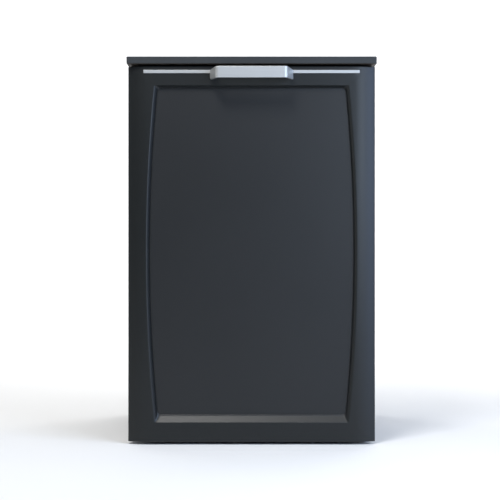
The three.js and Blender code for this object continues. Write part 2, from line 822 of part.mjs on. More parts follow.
function powerScrew(x) {
  const { radius, journalRadius, topJournalRadius, footZ, threadStart } = screw;
  const threadTop = upperBearingLowZ - 1;
  const topZ = upperBearingHighZ - 3;
  const profile = [
    [0, footZ], [journalRadius, footZ], [journalRadius, threadStart], [radius, threadStart],
    [radius, threadTop], [topJournalRadius, threadTop], [topJournalRadius, topZ], [0, topZ],
  ];
  return turned(profile, x, screwY);
}

// ---- Drive ----

function pitchRadius(teeth) {
  return chain.pitch / 2 / Math.sin(Math.PI / teeth);
}

function tipRadius(teeth) {
  return (chain.pitch / 2) * (0.6 + 1 / Math.tan(Math.PI / teeth));
}

function sprocket(teeth, x, y) {
  const root = pitchRadius(teeth) - chain.roller / 2;
  const tip = tipRadius(teeth);
  const corners = [[root, -0.34], [tip, -0.1], [tip, 0.1], [root, 0.34]];
  const outline = Array.from({ length: teeth }, (_, tooth) =>
    corners.map(([radius, share]) => {
      const angle = ((tooth + share) * 2 * Math.PI) / teeth;
      return [radius * Math.cos(angle), radius * Math.sin(angle)];
    }),
  ).flat();
  const wheel = upright(shapeOf(outline), chain.wheelZ, chain.wheelZ + chain.wheelHeight);
  const hub = post(0, 0, root - 3, chain.wheelZ - 2, chain.wheelZ + chain.wheelHeight + 2);
  const bore = post(0, 0, screw.journalRadius + touchGap, 0, 200);
  return cutFrom(joined(wheel, hub), bore).translate(x, y, 0);
}

// The outside of a V-belt pulley, from its lower edge to its upper edge.
function groovedRim(radius) {
  const { z, height, grooveDepth } = belt;
  const middle = z + height / 2;
  return [
    [radius, z], [radius, middle - 5.5], [radius - grooveDepth, middle - 3.6],
    [radius - grooveDepth, middle + 3.6], [radius, middle + 5.5], [radius, z + height],
  ];
}

// The big pulley: hub, thin web and grooved rim.
function drivenPulley() {
  const { z, height, bigRadius, rimDepth, hubRadius, web } = belt;
  const bore = screw.journalRadius + touchGap;
  const topZ = z + height;
  const rimRadius = bigRadius - rimDepth;
  const webZ = z + (height - web) / 2;
  const profile = [
    [bore, z], [hubRadius, z], [hubRadius, webZ], [rimRadius, webZ], [rimRadius, z],
    ...groovedRim(bigRadius),
    [rimRadius, topZ], [rimRadius, webZ + web], [hubRadius, webZ + web], [hubRadius, topZ], [bore, topZ],
    [bore, z],
  ];
  return turned(profile, drive.jackX, jackY, 32);
}

// The small pulley with the end of the motor's shaft, which reaches up through the bracket.
function motorPulley() {
  const { shaftRadius, bracketZ, bracketMetal } = motor;
  const profile = [
    [0, belt.z - 3], [shaftRadius, belt.z - 3], [shaftRadius, belt.z], ...groovedRim(belt.smallRadius),
    [shaftRadius, belt.z + belt.height], [shaftRadius, bracketZ + bracketMetal], [0, bracketZ + bracketMetal],
  ];
  return turned(profile, motorX, jackY, 32);
}

// A plate on two legs: both stop short of the chain's left run, and the belt leaves between them.
function motorBracket() {
  const { radius, margin, shaftRadius, bracketZ, bracketMetal, bracketFoot, legDepth } = motor;
  const left = motorX - radius - margin;
  const ys = [jackY - legDepth / 2, jackY + legDepth / 2];
  const slope = chainSlope(-1);
  const chainX = (ys[0] - screwY) / slope - screwX - chainOuter * Math.hypot(1, 1 / slope);
  const legs = [left, chainX - chain.pass];
  const plateHighZ = bracketZ + bracketMetal;
  return cutFrom(
    joined(
      block([left, motorX + radius + margin], ys, [bracketZ, plateHighZ]),
      block(legs, [ys[0], ys[0] + bracketMetal], [onPanZ, plateHighZ]),
      block(legs, [ys[1] - bracketMetal, ys[1]], [onPanZ, plateHighZ]),
      block(legs, [ys[0], ys[0] + bracketFoot], [onPanZ, onPanZ + bracketMetal]),
      block(legs, [ys[1] - bracketFoot, ys[1]], [onPanZ, onPanZ + bracketMetal]),
    ),
    post(motorX, jackY, shaftRadius + 5, bracketZ - 5, plateHighZ + 5),
  );
}

function motorCasing() {
  const { radius, height, bracketZ, bracketMetal } = motor;
  const lowZ = bracketZ + bracketMetal + touchGap;
  const profile = [
    [0, lowZ], [radius - 8, lowZ], [radius, lowZ + 10], [radius, lowZ + height - 14],
    [radius - 10, lowZ + height - 4], [22, lowZ + height], [0, lowZ + height],
  ];
  return turned(profile, motorX, jackY, 32);
}

add("ram_plate", "blackSteel", ramPlate());
add("ram_crossbeam", "blackSteel", ramCrossbeam());
for (const [side, sign] of sides) {
  add(`ram_column_${side}`, "blackSteel", ramColumn(sign));
  add(`ram_nut_${side}`, "bronze", ramNut(sign * screwX));
  add(`power_screw_${side}`, "machined", powerScrew(sign * screwX));
  add(`screw_sprocket_${side}`, "castIron", sprocket(chain.screwTeeth, sign * screwX, screwY));
}

const chainWheels = [
  [-screwX, screwY, tipRadius(chain.screwTeeth)],
  [screwX, screwY, tipRadius(chain.screwTeeth)],
  [drive.jackX, jackY, tipRadius(chain.driveTeeth)],
];
const chainLowZ = chain.wheelZ + (chain.wheelHeight - chain.bandHeight) / 2;
const beltWheels = [
  [motorX, jackY, belt.smallRadius - belt.grooveDepth],
  [drive.jackX, jackY, belt.bigRadius - belt.grooveDepth],
];
const beltLowZ = belt.z + (belt.height - belt.bandHeight) / 2;

add(
  "drive_chain",
  "machined",
  loopBand(chainWheels, chain.clear, chain.bandThickness, chainLowZ, chainLowZ + chain.bandHeight),
);
add(
  "drive_belt",
  "rubber",
  loopBand(beltWheels, 1, belt.bandThickness, beltLowZ, beltLowZ + belt.bandHeight),
);
add("jackshaft", "machined", post(drive.jackX, jackY, screw.journalRadius, screw.footZ, drive.jackTop));
add("jackshaft_bearing", "castIron", lowerBearing(drive.jackX, jackY));
add("drive_sprocket", "castIron", sprocket(chain.driveTeeth, drive.jackX, jackY));
add("driven_pulley", "castAluminium", drivenPulley());
add("motor_pulley", "castAluminium", motorPulley());
add("motor_bracket", "zinc", motorBracket());
add("motor_body", "castIron", motorCasing());

// ---- Electrical pieces ----

const capacitor = { x: 150, radius: 20, height: 85, rearClear: 50 };
add(
  "start_capacitor",
  "greyPlastic",
  post(capacitor.x, cabinetRearY - capacitor.rearClear, capacitor.radius, onPanZ, onPanZ + capacitor.height),
);

const controlBox = { x: 90, width: 115, depth: 38, lowZ: 270, height: 120 };
add(
  "control_box",
  "greyPlastic",
  block(
    [controlBox.x, controlBox.x + controlBox.width],
    [cabinetRearY - controlBox.depth, cabinetRearY],
    [controlBox.lowZ, controlBox.lowZ + controlBox.height],
  ),
);

const drawerSwitch = { x: 178, width: 24, depth: 22, height: 24 };
const switchTopZ = cabinetTopZ - 34 - touchGap;
add(
  "drawer_switch",
  "blackPlastic",
  block(
    [drawerSwitch.x, drawerSwitch.x + drawerSwitch.width],
    [cabinetFrontY, cabinetFrontY + drawerSwitch.depth],
    [switchTopZ - drawerSwitch.height, switchTopZ],
  ),
);

// The switch that stops the ram at the top: its blade reaches forward over the crossbeam.
const limitSwitch = { x: 60, width: 28, depth: 16, height: 26, bladeReach: 18, bladeMetal: 1.2 };
const limitSwitchY = screwY + topFrame.width / 2 + touchGap;
const bladeZ = beamTopZ + 2.5;
add(
  "limit_switch",
  "blackPlastic",
  joined(
    block(
      [limitSwitch.x, limitSwitch.x + limitSwitch.width],
      [limitSwitchY, limitSwitchY + limitSwitch.depth],
      [bladeZ - 4, bladeZ - 4 + limitSwitch.height],
    ),
    block(
      [limitSwitch.x + 8, limitSwitch.x + 20],
      [limitSwitchY - limitSwitch.bladeReach, limitSwitchY + 2],
      [bladeZ, bladeZ + limitSwitch.bladeMetal],
    ),
  ),
);

export default compactor;
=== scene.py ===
"""The looks of an under-worktop trash compactor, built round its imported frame.

Metres, in the frame's axes: +X right, +Y back, +Z up. A piece takes its place from the box of the CAD
node that it stands for, and rides on that node's body.
"""
import json
import math

import bmesh
import bpy
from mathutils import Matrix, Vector

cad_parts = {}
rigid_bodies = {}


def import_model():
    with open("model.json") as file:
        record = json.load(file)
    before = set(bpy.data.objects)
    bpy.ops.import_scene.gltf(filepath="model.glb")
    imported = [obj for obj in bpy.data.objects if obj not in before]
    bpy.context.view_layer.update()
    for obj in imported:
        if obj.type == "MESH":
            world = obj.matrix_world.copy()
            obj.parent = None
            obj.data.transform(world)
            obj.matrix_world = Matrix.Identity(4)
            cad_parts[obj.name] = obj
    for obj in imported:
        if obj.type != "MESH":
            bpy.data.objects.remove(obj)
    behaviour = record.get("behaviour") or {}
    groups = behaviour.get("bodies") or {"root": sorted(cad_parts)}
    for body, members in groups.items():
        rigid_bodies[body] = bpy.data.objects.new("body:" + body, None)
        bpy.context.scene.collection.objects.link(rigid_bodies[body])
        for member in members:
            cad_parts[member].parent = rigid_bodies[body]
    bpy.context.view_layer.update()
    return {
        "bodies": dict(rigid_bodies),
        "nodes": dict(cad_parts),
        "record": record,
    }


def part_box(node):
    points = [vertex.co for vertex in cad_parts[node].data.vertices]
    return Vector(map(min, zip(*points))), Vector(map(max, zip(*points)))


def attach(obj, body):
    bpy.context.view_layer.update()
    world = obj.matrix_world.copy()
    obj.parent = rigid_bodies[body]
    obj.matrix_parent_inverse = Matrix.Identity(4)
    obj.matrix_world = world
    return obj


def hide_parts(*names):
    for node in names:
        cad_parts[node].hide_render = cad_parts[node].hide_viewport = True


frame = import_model()

MM = 0.001
SIDES = (("left", -1), ("right", 1))
X, Y, Z = Vector((1, 0, 0)), Vector((0, 1, 0)), Vector((0, 0, 1))

# ---- Camera and light ----

CAMERA_DISTANCE = 3.0
CAMERA_HEIGHT = 0.4267
CAMERA_SIDE = -0.0035
VIEW_WIDTH = 1.0955  # what the camera takes in at the drawer front's plane

WHITE_LIGHT = (1.0, 1.0, 1.0)
WARM_LIGHT = (1.0, 0.99, 0.97)
SOFT_LIGHTS = (  # name, place, aim, (width, height), watts, colour
    ("cool_right", (2.4, -1.9, 1.15), (0.25, -0.2, 0.5), (1.1, 2.0), 44, (0.50, 0.66, 1.0)),
    ("overhead_left", (-0.42, -1.35, 2.1), (-0.17, -0.3, 0.06), (0.6, 0.5), 29, WARM_LIGHT),
    ("front_right", (0.86, -1.75, 0.9), (0.18, -0.3, 0.5), (0.6, 1.1), 13, (0.66, 0.80, 1.0)),
    ("overhead", (0.2, -0.9, 2.8), (0, -0.2, 0.2), (2.0, 1.4), 14, WARM_LIGHT),
    ("edge_left", (-2.4, -0.4, 0.9), (-0.25, 0, 0.4), (0.3, 1.8), 4, (0.95, 0.98, 1.0)),
    ("rear_soft", (0.6, 2.4, 2.2), (0, 0.3, 0.4), (2.0, 1.2), 26, WHITE_LIGHT),
)
AIR_COLOUR = (0.92, 0.96, 1.0, 1)
AIR_STRENGTH = 0.22

front_low, front_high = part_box("drawer_front")
face_y = front_low.y


def add_camera():
    """A long lens straight in front of the object."""
    camera = bpy.data.cameras.new("studio_camera")
    camera.sensor_width = 36
    camera.lens = camera.sensor_width * CAMERA_DISTANCE / VIEW_WIDTH
    holder = bpy.data.objects.new("studio_camera", camera)
    bpy.context.scene.collection.objects.link(holder)
    holder.location = (CAMERA_SIDE, face_y - CAMERA_DISTANCE, CAMERA_HEIGHT)
    holder.rotation_euler = (math.pi / 2, 0, 0)
    bpy.context.scene.camera = holder


def add_soft_light(name, place, aim, size, power, colour):
    """A rectangle of light that faces what it's aimed at."""
    light = bpy.data.lights.new(name, "AREA")
    light.shape = "RECTANGLE"
    light.size, light.size_y = size
    light.energy = power
    light.color = colour
    holder = bpy.data.objects.new(name, light)
    bpy.context.scene.collection.objects.link(holder)
    holder.location = place
    holder.rotation_euler = (Vector(aim) - Vector(place)).to_track_quat("-Z", "Y").to_euler()


def add_studio():
    """Grey air, soft lights round the object, and a wash on the wall behind from each side."""
    scene = bpy.context.scene
    scene.view_settings.view_transform = "Standard"
    world = bpy.data.worlds.new("studio_air")
    world.use_nodes = True
    background = world.node_tree.nodes["Background"]
    background.inputs["Color"].default_value = AIR_COLOUR
    background.inputs["Strength"].default_value = AIR_STRENGTH
    scene.world = world
    for light in SOFT_LIGHTS:
        add_soft_light(*light)
    for side in (-1, 1):
        place, aim = (side * 2.2, 2.6, 4.2), (side * 1.2, 6, 1.6)
        add_soft_light("wall_wash", place, aim, (2.4, 1.0), 170, WHITE_LIGHT)


# ---- Shader maths ----


class Value:
    """A number that varies over a surface. Arithmetic on it adds Math nodes to its finish."""

    def __init__(self, finish, socket):
        self.finish = finish
        self.socket = socket

    def __add__(self, other):
        return self.finish.math("ADD", self, other)

    __radd__ = __add__

    def __mul__(self, other):
        return self.finish.math("MULTIPLY", self, other)

    __rmul__ = __mul__

    def __sub__(self, other):
        return self.finish.math("SUBTRACT", self, other)

    def __rsub__(self, other):
        return self.finish.math("SUBTRACT", other, self)

    def above(self, limit, softness):
        """0 below the limit, 1 past limit + softness."""
        settings = {"interpolation_type": "SMOOTHSTEP"}
        inputs = {"Value": self, "From Min": limit, "From Max": limit + softness}
        return Value(self.finish, self.finish.node("ShaderNodeMapRange", settings, inputs).outputs[0])


class Finish:
    """One material: a Principled shader and the nodes that vary it."""

    def __init__(self, name, **constants):
        self.material = bpy.data.materials.new(name)
        self.material.use_nodes = True
        self.tree = self.material.node_tree
        self.tree.nodes.clear()
        named = {key.replace("_", " "): value for key, value in constants.items()}
        self.shader = self.node("ShaderNodeBsdfPrincipled", {}, named)
        self.node("ShaderNodeOutputMaterial", {}, {"Surface": self.shader.outputs["BSDF"]})
        self.place = self.node("ShaderNodeTexCoord", {}, {}).outputs["Object"]

    def node(self, kind, settings, inputs):
        made = self.tree.nodes.new(kind)
        for key, value in settings.items():
            setattr(made, key, value)
        for key, value in inputs.items():
            socket = made.inputs[key]
            if isinstance(value, Value):
                value = value.socket
            if isinstance(value, bpy.types.NodeSocket):
                self.tree.links.new(value, socket)
            else:
                socket.default_value = value
        return made

    def math(self, operation, *values):
        made = self.node("ShaderNodeMath", {"operation": operation}, dict(enumerate(values)))
        return Value(self, made.outputs[0])

    def along(self, axis):
        split = self.node("ShaderNodeSeparateXYZ", {}, {0: self.place})
        return Value(self, split.outputs["XYZ".index(axis)])

    def within(self, axis, half, softness):
        """1 nearer to the middle plane than half, 0 beyond."""
        return 1 - self.math("ABSOLUTE", self.along(axis)).above(half, softness)

    def stretched(self, stretch):
        made = self.node("ShaderNodeVectorMath", {"operation": "MULTIPLY"}, {0: self.place, 1: stretch})
        return made.outputs[0]

    def noise(self, scale, detail=2.0, stretch=(1, 1, 1)):
        inputs = {"Vector": self.stretched(stretch), "Scale": scale, "Detail": detail}
        return Value(self, self.node("ShaderNodeTexNoise", {}, inputs).outputs[0])

    def cells(self, scale, output="Distance", stretch=(1, 1, 1)):
        inputs = {"Vector": self.stretched(stretch), "Scale": scale}
        return Value(self, self.node("ShaderNodeTexVoronoi", {}, inputs).outputs[output])

    def mix(self, factor, first, second):
        """The first colour where factor is 0, the second where it is 1."""
        mixer = self.node("ShaderNodeMix", {"data_type": "RGBA"}, {0: factor})
        for index, colour in ((6, first), (7, second)):
            if isinstance(colour, bpy.types.NodeSocket):
                self.tree.links.new(colour, mixer.inputs[index])
            else:
                mixer.inputs[index].default_value = (*colour, 1)
        return mixer.outputs[2]

    def feed(self, name, value):
        source = value.socket if isinstance(value, Value) else value
        self.tree.links.new(source, self.shader.inputs[name])

    def bump(self, height, strength, distance):
        inputs = {"Height": height, "Strength": strength, "Distance": distance}
        self.feed("Normal", self.node("ShaderNodeBump", {}, inputs).outputs[0])


# ---- Finishes ----


def satin_black_front():
    """One satin paint: the sunk panel is coloured a shade lighter than the frame round it, as painted
    light, and the frame darker, as painted shade.
    """
    made = Finish("satin_black_front", Specular_IOR_Level=0.42)
    haze = made.noise(2.4, 3)
    # painted light and shade: the sunk panel gets a lighter colour and the frame a darker one, standing
    # in for how the light falls on each
    panel = made.along("Y").above(face_y + 7 * MM, 1.5 * MM) * made.within("X", 236 * MM, 1 * MM)
    frame_painted_shade_tone = made.mix(haze, (0.0045, 0.0060, 0.0066), (0.0065, 0.0080, 0.0086))
    panel_painted_light_tone = made.mix(haze, (0.0086, 0.0096, 0.0106), (0.0116, 0.0126, 0.0140))
    made.feed("Base Color", made.mix(panel, frame_painted_shade_tone, panel_painted_light_tone))
    grain = made.noise(1500, 1)
    made.feed("Roughness", 0.35 + 0.05 * haze + 0.04 * grain + 0.03 * panel)
    made.bump(grain + 0.8 * made.noise(240, 1), 0.10, 0.0004)
    return made.material


def grey_laminate():
    made = Finish("grey_laminate", Specular_IOR_Level=0.22)
    speck = made.noise(900, 2).above(0.52, 0.12)
    cloud = made.noise(14, 3)
    board = made.mix(speck * 0.55 + cloud * 0.25, (0.0255, 0.0285, 0.031), (0.0405, 0.044, 0.0465))
    underside = 1 - made.along("Z").above(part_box("worktop")[0].z + 0.4 * MM, 0.3 * MM)
    made.feed("Base Color", made.mix(underside, board, (0.035, 0.028, 0.022)))
    made.feed("Roughness", 0.46 + 0.12 * made.noise(420, 2))
    made.bump(made.noise(520, 3), 0.16, 0.0005)
    return made.material


def brushed_aluminium():
    made = Finish("brushed_aluminium", Metallic=0.55)
    brush = made.noise(260, 4, (0.03, 1, 6))
    made.feed("Base Color", made.mix(brush, (0.425, 0.435, 0.437), (0.49, 0.50, 0.502)))
    made.feed("Roughness", 0.34 + 0.16 * brush)
    made.bump(brush, 0.12, 0.0003)
    return made.material


def powder_black():
    made = Finish("powder_coated_black", Specular_IOR_Level=0.45)
    peel = made.noise(520, 2)
    dust = made.noise(6, 4).above(0.52, 0.3)
    made.feed("Base Color", made.mix(dust * 0.5, (0.0095, 0.0105, 0.0115), (0.021, 0.022, 0.023)))
    made.feed("Roughness", 0.46 + 0.12 * peel + 0.08 * dust)
    made.bump(peel + 0.4 * made.noise(1600, 1), 0.22, 0.0005)
    return made.material


def galvanised():
    made = Finish("galvanised_steel", Metallic=1.0)
    spangle = made.cells(95, "Color")
    fine = made.noise(700, 3)
    made.feed("Base Color", made.mix(spangle, (0.36, 0.38, 0.39), (0.50, 0.52, 0.53)))
    made.feed("Roughness", 0.34 + 0.16 * spangle + 0.10 * fine)
    made.bump(spangle * 0.3 + fine, 0.06, 0.0004)
    return made.material


def turned_steel():
    made = Finish("turned_steel", Metallic=1.0)
    rings = made.noise(1400, 2, (0.02, 0.02, 1))
    oil = made.noise(30, 3).above(0.45, 0.3)
    made.feed("Base Color", made.mix(oil, (0.40, 0.41, 0.42), (0.24, 0.235, 0.22)))
    made.feed("Roughness", 0.22 + 0.14 * rings + 0.08 * oil)
    made.bump(rings, 0.12, 0.0003)
    return made.material


def cast_iron():
    made = Finish("painted_casting", Specular_IOR_Level=0.5)
    sand = made.noise(620, 4)
    made.feed("Base Color", made.mix(sand, (0.030, 0.034, 0.037), (0.058, 0.062, 0.066)))
    made.feed("Roughness", 0.50 + 0.20 * sand)
    made.bump(sand + made.noise(150, 2), 0.35, 0.0007)
    return made.material


def cast_aluminium():
    made = Finish("cast_aluminium", Metallic=1.0)
    sand = made.noise(900, 3)
    made.feed("Base Color", made.mix(sand, (0.36, 0.37, 0.38), (0.48, 0.49, 0.50)))
    made.feed("Roughness", 0.42 + 0.18 * sand)
    made.bump(sand, 0.20, 0.0004)
    return made.material


def bronze():
    made = Finish("turned_bronze", Metallic=1.0)
    rings = made.noise(900, 2, (0.05, 0.05, 1))
    stain = made.noise(60, 3)
    made.feed("Base Color", made.mix(stain, (0.52, 0.31, 0.11), (0.36, 0.20, 0.07)))
    made.feed("Roughness", 0.28 + 0.18 * rings)
    made.bump(rings, 0.10, 0.0003)
    return made.material


def bin_plastic():
    made = Finish("bin_polypropylene", Specular_IOR_Level=0.4)
    scuff = made.noise(48, 5, (1, 1, 0.15)).above(0.56, 0.14)
    made.feed("Base Color", made.mix(scuff * 0.6, (0.060, 0.066, 0.070), (0.095, 0.100, 0.104)))
    grain = made.noise(1100, 2)
    made.feed("Roughness", 0.48 + 0.10 * grain + 0.12 * scuff)
    made.bump(grain, 0.20, 0.0004)
    return made.material


def black_plastic():
    made = Finish("fine_grained_black_plastic", Specular_IOR_Level=0.45)
    grain = made.cells(1300)
    made.feed("Base Color", made.mix(grain, (0.011, 0.011, 0.012), (0.017, 0.017, 0.018)))
    made.feed("Roughness", 0.44 + 0.16 * grain)
    made.bump(grain, 0.18, 0.0003)
    return made.material


def grey_plastic():
    made = Finish("satin_grey_plastic", Specular_IOR_Level=0.45)
    tone = made.noise(30, 2)
    grain = made.noise(1500, 1)
    made.feed("Base Color", made.mix(tone, (0.19, 0.20, 0.21), (0.23, 0.24, 0.25)))
    made.feed("Roughness", 0.40 + 0.10 * grain)
    made.bump(grain, 0.12, 0.0003)
    return made.material


def rubber():
    made = Finish("black_rubber", Specular_IOR_Level=0.3)
    bloom = made.noise(90, 4).above(0.45, 0.35)
    grain = made.noise(1200, 3)
    made.feed("Base Color", made.mix(bloom, (0.010, 0.010, 0.010), (0.024, 0.024, 0.023)))
    made.feed("Roughness", 0.72 + 0.16 * grain)
    made.bump(grain, 0.25, 0.0004)
    return made.material


def enamel(name, low, high):
    made = Finish(name, Specular_IOR_Level=0.5)
    made.feed("Base Color", made.mix(made.noise(500, 2), low, high))
    made.feed("Roughness", 0.35 + 0.12 * made.noise(900, 2))
    return made.material


def studio_paper():
    made = Finish("studio_paper", Specular_IOR_Level=0.1)
    made.feed("Base Color", made.mix(made.noise(1.2, 2), (0.80, 0.80, 0.80), (0.82, 0.82, 0.82)))
    made.feed("Roughness", 0.9 + 0.05 * made.noise(3, 2))
    return made.material


FINISHES = {
    "satin_black_front": satin_black_front(),
    "laminate_top": grey_laminate(),
    "brushed_aluminium": brushed_aluminium(),
    "black_painted_steel": powder_black(),
    "galvanised_steel": galvanised(),
    "machined_steel": turned_steel(),
    "cast_iron": cast_iron(),
    "cast_aluminium": cast_aluminium(),
    "bronze": bronze(),
    "bin_plastic": bin_plastic(),
    "black_plastic": black_plastic(),
    "grey_plastic": grey_plastic(),
    "black_rubber": rubber(),
}

# ---- Mesh work ----


def body_with(node):
    """The name of the moving body that a CAD node belongs to."""
    carried = frame["nodes"][node]
    return next(name for name, empty in frame["bodies"].items() if empty == carried.parent)


def node_centre(node):
    """The upright line through the middle of a node's box, as a point at floor level."""
    low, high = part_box(node)
    middle = (low + high) / 2
    return Vector((middle.x, middle.y, 0))


def shade(piece, sharp):
    """Smooth shading that breaks at edges over the sharp angle and leaves the large faces flat."""
    piece.data.shade_smooth()
    piece.data.set_sharp_from_angle(angle=math.radians(sharp))
    piece.modifiers.new("flat_faces", "WEIGHTED_NORMAL").keep_sharp = True


class Shell:
    """The surface of one piece, gathered ring by ring."""

    def __init__(self):
        self.mesh = bmesh.new()

    def loft(self, rings, first_cap=True, last_cap=True, closed=False):
        made = [[self.mesh.verts.new(point) for point in ring] for ring in rings]
        pairs = list(zip(made, made[1:]))
        if closed:
            pairs.append((made[-1], made[0]))
        for near, far in pairs:
            for i in range(len(near)):
                j = (i + 1) % len(near)
                self.mesh.faces.new((near[i], near[j], far[j], far[i]))
        if first_cap and not closed:
            self.mesh.faces.new(reversed(made[0]))
        if last_cap and not closed:
            self.mesh.faces.new(made[-1])

    def prism(self, outline, start, end, place):
        """An outline of (u, v) pairs run from start to end, where place(u, v, w) gives the point."""
        self.loft([[place(u, v, w) for u, v in outline] for w in (start, end)])

    def slab(self, outline, low, high, edge, place, steps=3):
        """A plate with softened edges: outline(inset) gives its (u, v) pairs, shrunk by inset."""
        turns = [math.pi / 2 * k / steps for k in range(steps + 1)]
        levels = [(edge * (1 - math.sin(t)), low + edge * (1 - math.cos(t))) for t in turns]
        levels += [(edge * (1 - math.sin(t)), high - edge * (1 - math.cos(t))) for t in reversed(turns)]
        self.loft([[place(u, v, w) for u, v in outline(inset)] for inset, w in levels])

    def turned(self, profile, base, axis=Z, segments=32):
        """A profile of (radius, height) pairs turned about a line; it may close on itself."""
        closed = profile[0] == profile[-1]
        points = profile[:-1] if closed else profile
        side = axis.orthogonal().normalized()
        other = axis.cross(side)
        spins = [2 * math.pi * i / segments for i in range(segments)]
        spokes = [side * math.cos(a) + other * math.sin(a) for a in spins]
        rings = [[base + axis * h + spoke * r for spoke in spokes] for r, h in points]
        self.loft(rings, closed=closed)

    def board(self, low, high, corner, edge, plane="XY", corner_steps=3, edge_steps=3):
        """A block whose outline in a plane has rounded corners, and whose two rims are eased."""
        sides = ["XYZ".index(axis) for axis in plane]
        through = 3 - sum(sides)
        (u0, v0), (u1, v1) = ([tip[i] for i in sides] for tip in (low, high))

        def outline(inset):
            return rectangle(u0 + inset, u1 - inset, v0 + inset, v1 - inset, corner - inset, corner_steps)

        place = in_xyz if plane == "XY" else in_xzy
        self.slab(outline, low[through], high[through], edge, place, edge_steps)

    def cuboid(self, low, high, edge=0.4 * MM):
        """A block between two corners, with softened edges."""
        (x0, y0, z0), (x1, y1, z1) = low, high
        self.slab(
            lambda inset: rectangle(x0 + inset, x1 - inset, y0 + inset, y1 - inset, edge),
            z0, z1, edge, lambda u, v, w: (u, v, w), 2,
        )

    def piece(self, name, body, slot, stands_for=(), finish=None, sharp=32):
        bmesh.ops.remove_doubles(self.mesh, verts=self.mesh.verts, dist=1e-7)
        bmesh.ops.recalc_face_normals(self.mesh, faces=self.mesh.faces)
        data = bpy.data.meshes.new(name)
        self.mesh.to_mesh(data)
        self.mesh.free()
        data.materials.append(finish or FINISHES[slot])
        made = bpy.data.objects.new(name, data)
        bpy.context.scene.collection.objects.link(made)
        shade(made, sharp)
        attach(made, body)
        if stands_for:
            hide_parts(*stands_for)
        return made


def rectangle(x0, x1, y0, y1, radius, steps=3):
    """A rectangle with rounded corners, anticlockwise, as (x, y) pairs."""
    radius = max(radius, 0.01 * MM)
    outline = []
    corners = ((x1, y0, -1), (x1, y1, 0), (x0, y1, 1), (x0, y0, 2))
    for x, y, quarter in corners:
        cx = x - radius if x == x1 else x + radius
        cy = y - radius if y == y1 else y + radius
        for k in range(steps + 1):
            angle = (quarter + k / steps) * math.pi / 2
            outline.append((cx + radius * math.cos(angle), cy + radius * math.sin(angle)))
    return outline


def folded(corners, thickness, bend, steps=4):
    """The outline of a folded sheet whose middle runs through the corners, as (u, v) pairs."""
    points = [Vector(c) for c in corners]
    line = [points[0]]
    for before, corner, after in zip(points, points[1:], points[2:]):
        into = (corner - before).normalized()
        away = (after - corner).normalized()
        reach = min(bend * math.tan(into.angle(away) / 2), 0.45 * (corner - before).length,
                    0.45 * (after - corner).length)
        start, end = corner - into * reach, corner + away * reach
        line += [bent(start, corner, end, k / steps) for k in range(steps + 1)]
    line.append(points[-1])
    left, right = [], []
    for i, point in enumerate(line):
        along = (line[min(i + 1, len(line) - 1)] - line[max(i - 1, 0)]).normalized()
        across = Vector((-along.y, along.x)) * thickness / 2
        left.append(tuple(point + across))
        right.append(tuple(point - across))
    return left + right[::-1]


def in_mm(*points):
    """Points given in millimetres."""
    return [tuple(value * MM for value in point) for point in points]


def bent(start, tip, end, t):
    """The point at share t of a bend that leaves start and reaches end along the lines to its tip."""
    return start * (1 - t) ** 2 + tip * 2 * t * (1 - t) + end * t ** 2


def in_xyz(u, v, w):
    return (u, v, w)


def in_xzy(u, v, w):
    return (u, w, v)


def in_yzx(u, v, w):
    return (w, u, v)


def screw_head(shell, base, axis, radius):
    """A pan head with a six-lobed drive sunk in it."""
    height = 0.55 * radius
    socket = 0.42 * radius
    profile = [
        (0, 0), (radius, 0), (radius, 0.25 * height), (0.86 * radius, 0.72 * height),
        (0.6 * radius, height), (socket, height), (socket, 0.35 * height), (0, 0.3 * height),
    ]
    shell.turned(profile, base, axis, 18)


def hex_bolt(shell, base, axis, across):
    """A washer with a hexagon head on it, chamfered at the top."""
    radius = across / math.sqrt(3)
    thin = 0.12 * across
    washer = [(0, 0), (across, 0), (across, 0.7 * thin), (0.9 * across, thin), (0, thin)]
    shell.turned(washer, base, axis, 24)
    top = 0.65 * across
    head = [(0, thin), (radius, thin), (radius, top - 0.1 * across), (0.84 * radius, top), (0, top)]
    shell.turned(head, base, axis, 6)


def fasteners(name, body, slot, places, axis, size, kind=screw_head):
    """Alike fasteners on one body, as one piece."""
    shell = Shell()
    for place in places:
        kind(shell, Vector(place), axis, size)
    return shell.piece(name, body, slot, sharp=40)


def round_about(centre, radius, count, first, height):
    """Places spaced evenly on a circle, the first of them at an angle, at one height."""
    turns = [first + 2 * math.pi * k / count for k in range(count)]
    return [centre + Vector((radius * math.cos(t), radius * math.sin(t), height)) for t in turns]


def carved(piece, *cutters):
    """Cuts boxes, each (low corner, high corner), out of a piece."""
    shell = bmesh.new()
    for low, high in cutters:
        made = bmesh.ops.create_cube(shell, size=1)
        size = Vector(high) - Vector(low)
        middle = (Vector(high) + Vector(low)) / 2
        for vert in made["verts"]:
            vert.co = Vector(a * b for a, b in zip(vert.co, size)) + middle
    data = bpy.data.meshes.new("cutter")
    shell.to_mesh(data)
    shell.free()
    cutter = bpy.data.objects.new("cutter", data)
    bpy.context.scene.collection.objects.link(cutter)
    modifier = piece.modifiers.new("carve", "BOOLEAN")
    modifier.operation = "DIFFERENCE"
    modifier.solver = "EXACT"
    modifier.object = cutter
    bpy.context.view_layer.update()
    evaluated = piece.evaluated_get(bpy.context.evaluated_depsgraph_get())
    result = bpy.data.meshes.new_from_object(evaluated)
    piece.modifiers.clear()
    piece.data = result
    bpy.data.objects.remove(cutter)
    shade(piece, 32)
    return piece


# ---- Drawer front ----

